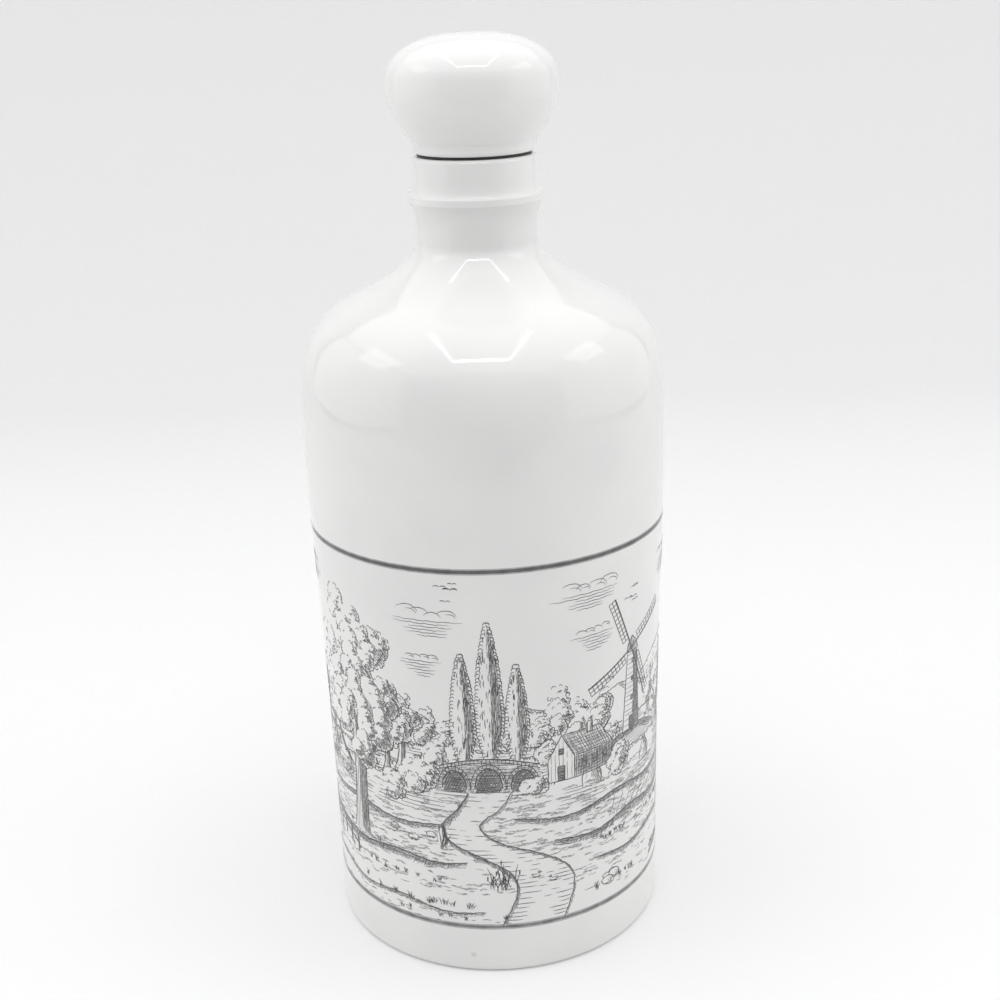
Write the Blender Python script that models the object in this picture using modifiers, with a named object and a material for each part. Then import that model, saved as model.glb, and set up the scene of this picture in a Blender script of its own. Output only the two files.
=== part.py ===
"""A glazed porcelain decanter: a round-shouldered bottle with a collared neck, closed by a hollow
porcelain knob whose spigot carries a ribbed rubber seal.

Metres, +Z up. The origin is the centre of the foot ring, on the surface the decanter stands on.
Every outline is a list of (radius, height) points turned about the Z axis.
"""

import math

import bmesh
import bpy
from mathutils import Vector
from mathutils.geometry import interpolate_bezier

# Bottle, outside, from the foot up. The neck's radii are the bore's and a wall.
BASE_RADIUS = 0.0424
HEEL_ROUND = 0.0017
BODY_HEIGHT = 0.1275
BODY_FLARE = 0.0020
SHOULDER_HEIGHT = 0.0364
SHOULDER_EDGE_RADIUS = 0.0289
SHOULDER_SLOPE = math.radians(23.4)
THROAT_HEIGHT = 0.0121
NECK_WALL = 0.0042
NECK_HEIGHT = 0.0101
COLLAR_REACH = 0.0013
COLLAR_ROUND = 0.0004
COLLAR_EDGE_HEIGHT = 0.0013
COLLAR_FLARE = math.radians(60)
LEDGE_HEIGHT = 0.0043
LIP_WALL = 0.0045
LIP_BAND_HEIGHT = 0.0050
LIP_ROUND = 0.0010

# Bottle, inside and underneath
WALL = 0.0040
FLOOR_THICKNESS = 0.0045
INNER_HEEL_ROUND = 0.0060
FOOT_RECESS = 0.0020
FOOT_RING_WIDTH = 0.0045
FOOT_RING_ROUND = 0.0010
BORE_RADIUS = 0.0103

# How far the handles of the bottle's curves reach, as shares of the curve's height or width
BODY_HANDLE_SHARES = (0.60, 0.25)
SHOULDER_HANDLE_SHARES = (0.53, 1.14)
THROAT_HANDLE_SHARES = (0.40, 0.35)
NECK_HANDLE_SHARES = (0.55, 0.30)
LEDGE_HANDLE_SHARES = (0.45, 0.55)

# Clearances: between faces that touch, and between the seal's ribs and the bore
SEAT_GAP = 0.0003
BORE_CLEARANCE = 0.0003

# Seal
FLANGE_THICKNESS = 0.0004
SLEEVE_THICKNESS = 0.0012
SLEEVE_LENGTH = 0.0170
RIB_COUNT = 4
RIB_REACH = 0.0007
RIB_WIDTH = 0.0012
FIRST_RIB_DEPTH = 0.0032
LAST_RIB_MARGIN = 0.0024

# Knob
KNOB_RADIUS = 0.0199
CROWN_HEIGHT = 0.0108
CROWN_FULLNESS_SHARE = 2.35
BELLY_HEIGHT = 0.0132
BELLY_HANDLE_SHARES = (0.46, 0.30)
BELLY_SLOPE = math.radians(50)
KNOB_FOOT_HEIGHT = 0.0025
KNOB_FOOT_ROUND = 0.0014
KNOB_WALL = 0.0032
SPIGOT_WALL = 0.0030
SPIGOT_BEAD_REACH = 0.0006
SPIGOT_BEAD_LENGTH = 0.0022

# Fineness of the solids
TURN_STEPS = 40
CURVE_STEPS = 5
ROUND_STEPS = 4
MERGE_DISTANCE = 0.00001

# Colours (linear), roughness
PORCELAIN = ((0.84, 0.84, 0.82, 1.0), 0.08)
RUBBER = ((0.06, 0.06, 0.062, 1.0), 0.55)

# Heights and radii that follow from the sizes above
SHOULDER_RADIUS = BASE_RADIUS + BODY_FLARE
NECK_RADIUS = BORE_RADIUS + NECK_WALL
LIP_RADIUS = BORE_RADIUS + LIP_WALL
COLLAR_RADIUS = LIP_RADIUS + COLLAR_REACH
KNOB_FOOT_RADIUS = LIP_RADIUS
SHOULDER_EDGE_Z = BODY_HEIGHT + SHOULDER_HEIGHT
WAIST_Z = SHOULDER_EDGE_Z + THROAT_HEIGHT
COLLAR_Z = WAIST_Z + NECK_HEIGHT
BAND_Z = COLLAR_Z + LEDGE_HEIGHT
LIP_Z = BAND_Z + LIP_BAND_HEIGHT
FLANGE_RADIUS = LIP_RADIUS - LIP_ROUND - SEAT_GAP
RIB_RADIUS = BORE_RADIUS - BORE_CLEARANCE
SLEEVE_RADIUS = RIB_RADIUS - RIB_REACH
SLEEVE_BORE_RADIUS = SLEEVE_RADIUS - SLEEVE_THICKNESS
SPIGOT_RADIUS = SLEEVE_BORE_RADIUS - SEAT_GAP
SPIGOT_HOLE_RADIUS = SPIGOT_RADIUS - SPIGOT_WALL


def point(radius, height):
    return Vector((radius, height))


def curve(start, start_handle, end_handle, end):
    """Points along a smooth curve that leaves and reaches its ends along the two handles."""
    return interpolate_bezier(start, start_handle, end_handle, end, CURVE_STEPS + 1)


def round_edge(centre, radius, first_degrees, last_degrees):
    """Points on an arc, its angles counted from the +radius direction towards +Z."""
    angles = [
        math.radians(first_degrees + (last_degrees - first_degrees) * step / ROUND_STEPS)
        for step in range(ROUND_STEPS + 1)
    ]
    return [centre + point(math.cos(angle), math.sin(angle)) * radius for angle in angles]


def join(*stretches):
    """One outline from several stretches, with points that fall together kept once."""
    outline = []
    for stretch in stretches:
        for candidate in stretch:
            if not outline or (candidate - outline[-1]).length > MERGE_DISTANCE:
                outline.append(candidate)
    return outline


def set_in(outline, distance):
    """The outline moved towards the axis by a wall's thickness; it runs upwards."""
    moved = []
    for index, here in enumerate(outline):
        before = outline[max(index - 1, 0)]
        after = outline[min(index + 1, len(outline) - 1)]
        along = (after - before).normalized()
        moved.append(here + point(-along.y, along.x) * distance)
    return moved


def body_line():
    """The side of the bottle, from the heel to where it is widest, running upwards."""
    low = point(BASE_RADIUS, HEEL_ROUND)
    high = point(SHOULDER_RADIUS, BODY_HEIGHT)
    rise = BODY_HEIGHT - HEEL_ROUND
    low_share, high_share = BODY_HANDLE_SHARES
    return curve(low, low + point(0, rise * low_share), high - point(0, rise * high_share), high)


def shoulder_line():
    """The round shoulder, from the widest point to where its curve turns over, running upwards."""
    low = point(SHOULDER_RADIUS, BODY_HEIGHT)
    high = point(SHOULDER_EDGE_RADIUS, SHOULDER_EDGE_Z)
    slope = point(math.cos(SHOULDER_SLOPE), -math.sin(SHOULDER_SLOPE))
    rise_share, sweep_share = SHOULDER_HANDLE_SHARES
    sweep = (SHOULDER_RADIUS - SHOULDER_EDGE_RADIUS) * sweep_share
    return curve(low, low + point(0, SHOULDER_HEIGHT * rise_share), high + slope * sweep, high)


def throat_line(start, neck_radius):
    """The hollow curve from the shoulder to the neck's narrowest place, running upwards."""
    end = point(neck_radius, WAIST_Z)
    slope = point(-math.cos(SHOULDER_SLOPE), math.sin(SHOULDER_SLOPE))
    sweep_share, rise_share = THROAT_HANDLE_SHARES
    sweep = (start.x - neck_radius) * sweep_share
    return curve(start, start + slope * sweep, end - point(0, THROAT_HEIGHT * rise_share), end)


def neck_line():
    """The neck, which flares up to the collar's upright edge, running upwards."""
    low = point(NECK_RADIUS, WAIST_Z)
    edge_middle = point(COLLAR_RADIUS - COLLAR_ROUND, COLLAR_Z)
    edge_half = point(0, COLLAR_EDGE_HEIGHT / 2)
    lower = round_edge(edge_middle - edge_half, COLLAR_ROUND, math.degrees(COLLAR_FLARE) - 90, 0)
    upper = round_edge(edge_middle + edge_half, COLLAR_ROUND, 0, 70)
    rise_share, flare_share = NECK_HANDLE_SHARES
    rise = point(0, NECK_HEIGHT * rise_share)
    flare = point(math.cos(COLLAR_FLARE), math.sin(COLLAR_FLARE)) * NECK_HEIGHT * flare_share
    return join(curve(low, low + rise, lower[0] - flare, lower[0]), lower, upper)


def lip_line(ledge_start):
    """From the collar's edge up its hollow ledge, the lip's band and over the lip to the bore."""
    band = point(LIP_RADIUS, BAND_Z)
    low_share, high_share = LEDGE_HANDLE_SHARES
    ledge_in = point(-(ledge_start.x - LIP_RADIUS), 0) * low_share
    ledge_up = point(0, LEDGE_HEIGHT) * high_share
    outer_centre = point(LIP_RADIUS - LIP_ROUND, LIP_Z - LIP_ROUND)
    inner_centre = point(BORE_RADIUS + LIP_ROUND, LIP_Z - LIP_ROUND)
    return join(
        curve(ledge_start, ledge_start + ledge_in, band - ledge_up, band),
        round_edge(outer_centre, LIP_ROUND, 0, 90),
        round_edge(inner_centre, LIP_ROUND, 90, 180),
    )


def inside_line():
    """The hollow, from the bore's lower end down the wall to the floor's centre."""
    shoulder = set_in(join(body_line(), shoulder_line()), WALL)
    throat = throat_line(shoulder[-1], BORE_RADIUS)
    floor_z = FOOT_RECESS + FLOOR_THICKNESS
    heel_top = floor_z + INNER_HEEL_ROUND
    wall = [place for place in shoulder if place.y > heel_top]
    heel_centre = point(BASE_RADIUS - WALL - INNER_HEEL_ROUND, heel_top)
    heel = round_edge(heel_centre, INNER_HEEL_ROUND, 0, -90)
    upwards = join(wall, throat)
    return join(reversed(upwards), heel, [point(0, floor_z)])


def underside_line():
    """From the underside's centre across the recess and over the foot ring to the heel."""
    ring_outer = BASE_RADIUS - HEEL_ROUND
    ring_inner = ring_outer - FOOT_RING_WIDTH
    inner_centre = point(ring_inner + FOOT_RING_ROUND, FOOT_RING_ROUND)
    heel_centre = point(ring_outer, HEEL_ROUND)
    return join(
        [point(0, FOOT_RECESS), point(ring_inner, FOOT_RECESS)],
        round_edge(inner_centre, FOOT_RING_ROUND, 180, 270),
        round_edge(heel_centre, HEEL_ROUND, -90, 0),
    )


def bottle_outline():
    """The whole bottle, down the outside, as the turning needs it: floor, bore, lip, side, foot."""
    neck = neck_line()
    throat = throat_line(point(SHOULDER_EDGE_RADIUS, SHOULDER_EDGE_Z), NECK_RADIUS)
    upwards = join(
        underside_line(), body_line(), shoulder_line(), throat, neck, lip_line(neck[-1]), inside_line()
    )
    return list(reversed(upwards))


def crown_line(radius, height, base_z):
    """A flattened dome from the axis out to its widest ring, running downwards."""
    steps = 2 * CURVE_STEPS
    places = []
    for step in range(steps + 1):
        angle = math.pi / 2 * (1 - step / steps)
        out = math.cos(angle) ** (2 / CROWN_FULLNESS_SHARE)
        up = math.sin(angle) ** (2 / CROWN_FULLNESS_SHARE)
        places.append(point(radius * out, base_z + height * up))
    return places


def belly_line():
    """The knob's underside curve, from its widest ring down to its foot."""
    high = point(KNOB_RADIUS, KNOB_FOOT_HEIGHT + BELLY_HEIGHT)
    low = point(KNOB_FOOT_RADIUS, KNOB_FOOT_HEIGHT)
    drop_share, slope_share = BELLY_HANDLE_SHARES
    slope = point(math.cos(BELLY_SLOPE), math.sin(BELLY_SLOPE))
    return curve(
        high, high - point(0, BELLY_HEIGHT * drop_share), low + slope * (BELLY_HEIGHT * slope_share), low
    )


def knob_outline():
    """The hollow knob from the top, down its outside and spigot, and back up inside. Its foot's
    underside is at height zero."""
    widest_z = KNOB_FOOT_HEIGHT + BELLY_HEIGHT
    belly = belly_line()
    foot_centre = point(KNOB_FOOT_RADIUS - KNOB_FOOT_ROUND, KNOB_FOOT_ROUND)
    seal_end = -(SEAT_GAP + FLANGE_THICKNESS + SLEEVE_LENGTH)
    bead_top = seal_end - SEAT_GAP
    spigot_end = bead_top - SPIGOT_BEAD_LENGTH
    bead_radius = SPIGOT_RADIUS + SPIGOT_BEAD_REACH
    bead = [
        point(SPIGOT_RADIUS, bead_top),
        point(bead_radius, bead_top - SPIGOT_BEAD_REACH),
        point(bead_radius, spigot_end + SPIGOT_BEAD_REACH),
        point(SPIGOT_RADIUS, spigot_end),
        point(SPIGOT_HOLE_RADIUS, spigot_end),
    ]
    hollow_low = point(SPIGOT_HOLE_RADIUS, KNOB_FOOT_HEIGHT)
    hollow_side = set_in(list(reversed(belly)), KNOB_WALL)
    hollow_crown = crown_line(KNOB_RADIUS - KNOB_WALL, CROWN_HEIGHT - KNOB_WALL, widest_z)
    return join(
        crown_line(KNOB_RADIUS, CROWN_HEIGHT, widest_z),
        belly,
        round_edge(foot_centre, KNOB_FOOT_ROUND, 0, -90),
        [point(SPIGOT_RADIUS, 0)],
        bead,
        [hollow_low],
        hollow_side,
        reversed(hollow_crown),
    )


def seal_outline():
    """The seal's flange, ribbed sleeve and bore, as a closed outline. Its flange's underside is at
    height zero."""
    top = [point(SLEEVE_BORE_RADIUS, FLANGE_THICKNESS), point(FLANGE_RADIUS, FLANGE_THICKNESS)]
    under = [point(FLANGE_RADIUS, 0), point(SLEEVE_RADIUS, 0)]
    ribs = []
    pitch = (SLEEVE_LENGTH - FIRST_RIB_DEPTH - LAST_RIB_MARGIN) / (RIB_COUNT - 1)
    for rib in range(RIB_COUNT):
        middle = -(FIRST_RIB_DEPTH + rib * pitch)
        ribs += [
            point(SLEEVE_RADIUS, middle + RIB_WIDTH),
            point(RIB_RADIUS, middle + RIB_WIDTH / 2),
            point(RIB_RADIUS, middle - RIB_WIDTH / 2),
            point(SLEEVE_RADIUS, middle - RIB_WIDTH),
        ]
    end = [point(SLEEVE_RADIUS, -SLEEVE_LENGTH), point(SLEEVE_BORE_RADIUS, -SLEEVE_LENGTH)]
    return join(top, under, ribs, end)


def make_material(name, colour_and_roughness):
    colour, roughness = colour_and_roughness
    material = bpy.data.materials.new(name)
    material.use_nodes = True
    shader = material.node_tree.nodes["Principled BSDF"]
    shader.inputs["Base Color"].default_value = colour
    shader.inputs["Roughness"].default_value = roughness
    shader.inputs["Metallic"].default_value = 0.0
    material.diffuse_color = colour
    return material


def turned(name, outline, material, closed=False):
    """An object turned about Z from an outline that runs down its outer side."""
    shape = bmesh.new()
    places = [shape.verts.new((place.x, 0, place.y)) for place in outline]
    for first, second in zip(places, places[1:]):
        shape.edges.new((first, second))
    if closed:
        shape.edges.new((places[-1], places[0]))
    mesh = bpy.data.meshes.new(name)
    shape.to_mesh(mesh)
    shape.free()
    mesh.materials.append(material)
    piece = bpy.data.objects.new(name, mesh)
    turn = piece.modifiers.new("turn", "SCREW")
    turn.axis = "Z"
    turn.steps = TURN_STEPS
    turn.render_steps = TURN_STEPS
    turn.use_merge_vertices = True
    turn.merge_threshold = MERGE_DISTANCE
    turn.use_smooth_shade = True
    return piece


def clear_scene():
    for old in list(bpy.data.objects):
        bpy.data.objects.remove(old, do_unlink=True)


def main():
    clear_scene()
    decanter = bpy.data.collections.new("decanter")
    bpy.context.scene.collection.children.link(decanter)
    bottle_glaze = make_material("bottle_glaze", PORCELAIN)
    knob_glaze = make_material("knob_glaze", PORCELAIN)
    seal_rubber = make_material("seal_rubber", RUBBER)

    bottle = turned("bottle", bottle_outline(), bottle_glaze)
    seal = turned("stopper_seal", seal_outline(), seal_rubber, closed=True)
    knob = turned("stopper_knob", knob_outline(), knob_glaze)
    for piece in (bottle, seal, knob):
        decanter.objects.link(piece)

    seal.parent = bottle
    seal.location.z = LIP_Z + SEAT_GAP
    knob.parent = seal
    knob.location.z = FLANGE_THICKNESS + SEAT_GAP


main()
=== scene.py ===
# %% [markdown]
# # A porcelain decanter
# The object is a white glazed bottle with a round shoulder, closed by a hollow porcelain knob on a
# rubber seal, with a grey country scene fired round its body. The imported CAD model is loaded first: it
# says where each piece is, and every finished piece here takes the place of one of its nodes.

# %% Load the frame
import math
import random

import bmesh
import bpy
import numpy as np
from mathutils import Matrix, Vector
from mathutils.geometry import interpolate_bezier


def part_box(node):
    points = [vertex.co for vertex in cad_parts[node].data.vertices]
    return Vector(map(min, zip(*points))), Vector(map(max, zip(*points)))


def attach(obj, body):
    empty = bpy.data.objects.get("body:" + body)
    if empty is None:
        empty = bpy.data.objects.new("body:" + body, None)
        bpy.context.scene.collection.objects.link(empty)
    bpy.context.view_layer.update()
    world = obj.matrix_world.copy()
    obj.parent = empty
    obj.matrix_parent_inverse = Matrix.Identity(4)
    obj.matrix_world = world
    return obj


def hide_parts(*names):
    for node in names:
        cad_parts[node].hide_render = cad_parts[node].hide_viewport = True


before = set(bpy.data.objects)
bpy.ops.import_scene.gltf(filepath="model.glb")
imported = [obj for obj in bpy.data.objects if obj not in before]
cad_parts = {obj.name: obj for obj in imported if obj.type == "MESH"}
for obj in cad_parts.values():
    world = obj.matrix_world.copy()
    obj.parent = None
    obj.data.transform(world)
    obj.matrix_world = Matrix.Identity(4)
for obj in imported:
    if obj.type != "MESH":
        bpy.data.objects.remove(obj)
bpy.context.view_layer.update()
seal_low, seal_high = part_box("stopper_seal")
widest_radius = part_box("bottle")[1].x
print("widest radius", round(widest_radius, 4), "m")
print("seal from", round(seal_low.z, 4), "to", round(seal_high.z, 4), "m")

# %% [markdown]
# Every piece of the decanter is turned, as it was on the model maker's wheel, so it starts as half an
# outline: (radius, height) places, running down the outer side. Long sweeps are cubic curves with a
# handle at each end, and edges are arcs.

# %% Outline helpers
SWEEP_STEPS = 28
ROUND_STEPS = 8
TURN_STEPS = 192
SAME_PLACE = 0.000002


def place(radius, height):
    return Vector((radius, height))


def sweep(start, start_handle, end_handle, end):
    return interpolate_bezier(start, start_handle, end_handle, end, SWEEP_STEPS + 1)


def round_edge(centre, radius, first_degrees, last_degrees):
    turn = math.radians(last_degrees - first_degrees) / ROUND_STEPS
    angles = [math.radians(first_degrees) + turn * step for step in range(ROUND_STEPS + 1)]
    return [centre + place(math.cos(angle), math.sin(angle)) * radius for angle in angles]


def join(*stretches):
    outline = []
    for stretch in stretches:
        for candidate in stretch:
            if not outline or (candidate - outline[-1]).length > SAME_PLACE:
                outline.append(candidate)
    return outline


def set_in(outline, distance):
    """The outline moved towards the axis by a wall; it runs upwards."""
    moved = []
    for index, here in enumerate(outline):
        before = outline[max(index - 1, 0)]
        after = outline[min(index + 1, len(outline) - 1)]
        along = (after - before).normalized()
        moved.append(here + place(-along.y, along.x) * distance)
    return moved


# %% [markdown]
# The side of the bottle widens very slightly up to the shoulder, so it is drawn as a long shallow S. The
# shoulder is one fat curve, and the throat a tight hollow one that meets it at a slope of 23 degrees.

# %% Bottle sizes
BASE_RADIUS = 0.0424
HEEL_ROUND = 0.0017
BODY_HEIGHT = 0.1275
SHOULDER_HEIGHT = 0.0364
SHOULDER_EDGE_RADIUS = 0.0289
SHOULDER_SLOPE = math.radians(23.4)
THROAT_HEIGHT = 0.0121
NECK_HEIGHT = 0.0101
NECK_WALL = 0.0042
LIP_WALL = 0.0045
COLLAR_REACH = 0.0013
COLLAR_ROUND = 0.0004
COLLAR_EDGE_HEIGHT = 0.0013
COLLAR_FLARE = math.radians(60)
COLLAR_TOP_DEGREES = 70
LEDGE_HEIGHT = 0.0043
LIP_ROUND = 0.0010
WALL = 0.0040
FLOOR_THICKNESS = 0.0045
INNER_HEEL_ROUND = 0.0060
FOOT_RECESS = 0.0020
FOOT_RING_WIDTH = 0.0045
FOOT_RING_ROUND = 0.0010
BORE_RADIUS = 0.0103
BORE_CLEARANCE = 0.0003
FLANGE_THICKNESS = 0.0004
MEET_GAP = 0.0001

# How far each curve's handles reach, as shares of its own rise or width.
BODY_SHARES = (0.60, 0.25)
SHOULDER_SHARES = (0.53, 1.14)
THROAT_SHARES = (0.40, 0.35)
NECK_SHARES = (0.55, 0.30)
LEDGE_SHARES = (0.45, 0.55)

SHOULDER_EDGE_Z = BODY_HEIGHT + SHOULDER_HEIGHT
WAIST_Z = SHOULDER_EDGE_Z + THROAT_HEIGHT
COLLAR_Z = WAIST_Z + NECK_HEIGHT
BAND_Z = COLLAR_Z + LEDGE_HEIGHT
LIP_RADIUS = BORE_RADIUS + LIP_WALL
lip_z = seal_high.z - FLANGE_THICKNESS - MEET_GAP

# %% Body, shoulder and throat
def body_line():
    low = place(BASE_RADIUS, HEEL_ROUND)
    high = place(widest_radius, BODY_HEIGHT)
    rise = BODY_HEIGHT - HEEL_ROUND
    return sweep(low, low + place(0, rise * BODY_SHARES[0]), high - place(0, rise * BODY_SHARES[1]), high)


def shoulder_line():
    low = place(widest_radius, BODY_HEIGHT)
    high = place(SHOULDER_EDGE_RADIUS, SHOULDER_EDGE_Z)
    slope = place(math.cos(SHOULDER_SLOPE), -math.sin(SHOULDER_SLOPE))
    rise = place(0, SHOULDER_HEIGHT * SHOULDER_SHARES[0])
    reach = (widest_radius - SHOULDER_EDGE_RADIUS) * SHOULDER_SHARES[1]
    return sweep(low, low + rise, high + slope * reach, high)


def throat_line(start, neck_radius):
    end = place(neck_radius, WAIST_Z)
    slope = place(-math.cos(SHOULDER_SLOPE), math.sin(SHOULDER_SLOPE))
    reach = (start.x - neck_radius) * THROAT_SHARES[0]
    return sweep(start, start + slope * reach, end - place(0, THROAT_HEIGHT * THROAT_SHARES[1]), end)

# %% [markdown]
# The neck flares out to a thin collar with a rounded edge. Above it a hollow ledge leads in to the lip
# band, and the lip is one round edge on each side of the bore.

# %% Neck and lip
def neck_line():
    low = place(BORE_RADIUS + NECK_WALL, WAIST_Z)
    edge_middle = place(LIP_RADIUS + COLLAR_REACH - COLLAR_ROUND, COLLAR_Z)
    edge_half = place(0, COLLAR_EDGE_HEIGHT / 2)
    lower = round_edge(edge_middle - edge_half, COLLAR_ROUND, math.degrees(COLLAR_FLARE) - 90, 0)
    upper = round_edge(edge_middle + edge_half, COLLAR_ROUND, 0, COLLAR_TOP_DEGREES)
    rise = place(0, NECK_HEIGHT * NECK_SHARES[0])
    flare = place(math.cos(COLLAR_FLARE), math.sin(COLLAR_FLARE)) * NECK_HEIGHT * NECK_SHARES[1]
    return join(sweep(low, low + rise, lower[0] - flare, lower[0]), lower, upper)


def lip_line(ledge_start):
    band = place(LIP_RADIUS, BAND_Z)
    ledge_in = place(-(ledge_start.x - LIP_RADIUS) * LEDGE_SHARES[0], 0)
    ledge_up = place(0, LEDGE_HEIGHT * LEDGE_SHARES[1])
    round_z = lip_z - LIP_ROUND
    return join(
        sweep(ledge_start, ledge_start + ledge_in, band - ledge_up, band),
        round_edge(place(LIP_RADIUS - LIP_ROUND, round_z), LIP_ROUND, 0, 90),
        round_edge(place(BORE_RADIUS + LIP_ROUND, round_z), LIP_ROUND, 90, 180),
    )

# %% [markdown]
# A slip casting has a wall of even thickness, so the inside is the outer line set in by the wall. The
# foot ring goes round a shallow recess, so that the bottle stands on its rim and doesn't rock.

# %% Inside and underside
def inside_line():
    shoulder = set_in(join(body_line(), shoulder_line()), WALL)
    floor_z = FOOT_RECESS + FLOOR_THICKNESS
    heel_top = floor_z + INNER_HEEL_ROUND
    wall = [here for here in shoulder if here.y > heel_top]
    heel = round_edge(place(BASE_RADIUS - WALL - INNER_HEEL_ROUND, heel_top), INNER_HEEL_ROUND, 0, -90)
    upwards = join(wall, throat_line(shoulder[-1], BORE_RADIUS))
    return join(reversed(upwards), heel, [place(0, floor_z)])


def underside_line():
    ring_outer = BASE_RADIUS - HEEL_ROUND
    ring_inner = ring_outer - FOOT_RING_WIDTH
    return join(
        [place(0, FOOT_RECESS), place(ring_inner, FOOT_RECESS)],
        round_edge(place(ring_inner + FOOT_RING_ROUND, FOOT_RING_ROUND), FOOT_RING_ROUND, 180, 270),
        round_edge(place(ring_outer, HEEL_ROUND), HEEL_ROUND, -90, 0),
    )


def bottle_outline():
    neck = neck_line()
    throat = throat_line(place(SHOULDER_EDGE_RADIUS, SHOULDER_EDGE_Z), BORE_RADIUS + NECK_WALL)
    upwards = join(
        underside_line(), body_line(), shoulder_line(), throat, neck, lip_line(neck[-1]), inside_line()
    )
    return list(reversed(upwards))


# %% [markdown]
# To turn an outline, a bmesh gets its places as a chain of edges, and bmesh.ops.spin carries the chain
# round the Z axis. The Screw modifier could do the same. Spin is used here because its result is at
# once a mesh whose normals can be put right and whose poles can be welded.

# %% Turning
def turned(name, outline, closed=False, steps=TURN_STEPS):
    shape = bmesh.new()
    verts = [shape.verts.new((here.x, 0, here.y)) for here in outline]
    for first, second in zip(verts, verts[1:]):
        shape.edges.new((first, second))
    if closed:
        shape.edges.new((verts[-1], verts[0]))
    bmesh.ops.spin(
        shape, geom=shape.verts[:] + shape.edges[:], axis=(0, 0, 1), cent=(0, 0, 0),
        angle=2 * math.pi, steps=steps, use_merge=True,
    )
    bmesh.ops.remove_doubles(shape, verts=shape.verts[:], dist=SAME_PLACE)
    bmesh.ops.recalc_face_normals(shape, faces=shape.faces[:])
    return finished(name, shape)


def finished(name, shape, sharp_degrees=40):
    mesh = bpy.data.meshes.new(name)
    shape.to_mesh(mesh)
    shape.free()
    mesh.shade_smooth()
    mesh.set_sharp_from_angle(angle=math.radians(sharp_degrees))
    piece = bpy.data.objects.new(name, mesh)
    bpy.context.scene.collection.objects.link(piece)
    print(name, len(mesh.polygons), "faces")
    return piece


# %% [markdown]
# Glazed porcelain is a white body under a thin clear glass. Its colour hardly varies, but the glaze runs
# and pools a little as it melts, so reflections in it waver. A slow noise drives both a faint change of
# colour and, through a Bump node, the waver. Object coordinates keep it fixed to the piece.

# %% Material helpers
def new_material(name, colour, roughness):
    material = bpy.data.materials.new(name)
    material.use_nodes = True
    shader = material.node_tree.nodes["Principled BSDF"]
    shader.inputs["Base Color"].default_value = colour
    shader.inputs["Roughness"].default_value = roughness
    material.diffuse_color = colour
    return material, material.node_tree, shader


def grey(level):
    return (level, level, level, 1)


def object_noise(tree, scale, detail):
    coords = tree.nodes.new("ShaderNodeTexCoord")
    noise = tree.nodes.new("ShaderNodeTexNoise")
    noise.inputs["Scale"].default_value = scale
    noise.inputs["Detail"].default_value = detail
    tree.links.new(coords.outputs["Object"], noise.inputs["Vector"])
    return noise.outputs["Fac"]


def two_tone(tree, factor, low, high, low_stop=0.35, high_stop=0.65):
    ramp = tree.nodes.new("ShaderNodeValToRGB")
    ramp.color_ramp.elements[0].position = low_stop
    ramp.color_ramp.elements[0].color = low
    ramp.color_ramp.elements[1].position = high_stop
    ramp.color_ramp.elements[1].color = high
    tree.links.new(factor, ramp.inputs["Fac"])
    return ramp.outputs["Color"]


def place_and_height(tree):
    coords = tree.nodes.new("ShaderNodeTexCoord").outputs["Object"]
    axes = tree.nodes.new("ShaderNodeSeparateXYZ")
    tree.links.new(coords, axes.inputs["Vector"])
    return coords, axes.outputs["Z"]


def bump(tree, height, distance, strength):
    node = tree.nodes.new("ShaderNodeBump")
    node.inputs["Distance"].default_value = distance
    node.inputs["Strength"].default_value = strength
    tree.links.new(height, node.inputs["Height"])
    return node.outputs["Normal"]


# %% Glazed porcelain
GLAZE_ROUGHNESS = 0.07
GLAZE_IOR = 1.5
CLOUD_SCALE = 45
RIPPLE_SCALE = 70
RIPPLE_DEPTH = 0.0004
RIPPLE_STRENGTH = 0.18
BOTTLE_WHITE = 0.80
# The knob is the same porcelain as the bottle, and its paler white is painted light that makes it look
# brighter.
KNOB_WHITE_PAINTED_LIGHTER = 0.83


def glazed_porcelain(name, white):
    clean = (white, white, white - 0.01, 1)
    shade = (white - 0.03, white - 0.03, white - 0.035, 1)
    material, tree, shader = new_material(name, clean, GLAZE_ROUGHNESS)
    clouds = two_tone(tree, object_noise(tree, CLOUD_SCALE, 1.5), shade, clean)
    tree.links.new(clouds, shader.inputs["Base Color"])
    ripple = bump(tree, object_noise(tree, RIPPLE_SCALE, 1.0), RIPPLE_DEPTH, RIPPLE_STRENGTH)
    tree.links.new(ripple, shader.inputs["Normal"])
    shader.inputs["IOR"].default_value = GLAZE_IOR
    return material


# %% [markdown]
# A bottle is fired standing on its foot, so the foot ring is wiped clean of glaze first and stays matt. A
# speck of iron in the clay leaves a faint spot by the heel.

# %% Bare foot and speck
SPECK_PLACE = (-0.0073, -0.0418, 0.0050)
SPECK_CORE, SPECK_EDGE = 0.0002, 0.0010
SPECK_SHADE = 0.80
BARE_ROUGHNESS = 0.6
BARE_TOP_Z, GLAZE_START_Z = 0.0003, 0.0006


def mapped(tree, value, from_low, from_high, to_low, to_high):
    node = tree.nodes.new("ShaderNodeMapRange")
    sockets = ("From Min", "From Max", "To Min", "To Max")
    for socket, limit in zip(sockets, (from_low, from_high, to_low, to_high)):
        node.inputs[socket].default_value = limit
    tree.links.new(value, node.inputs["Value"])
    return node.outputs["Result"]


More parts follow.
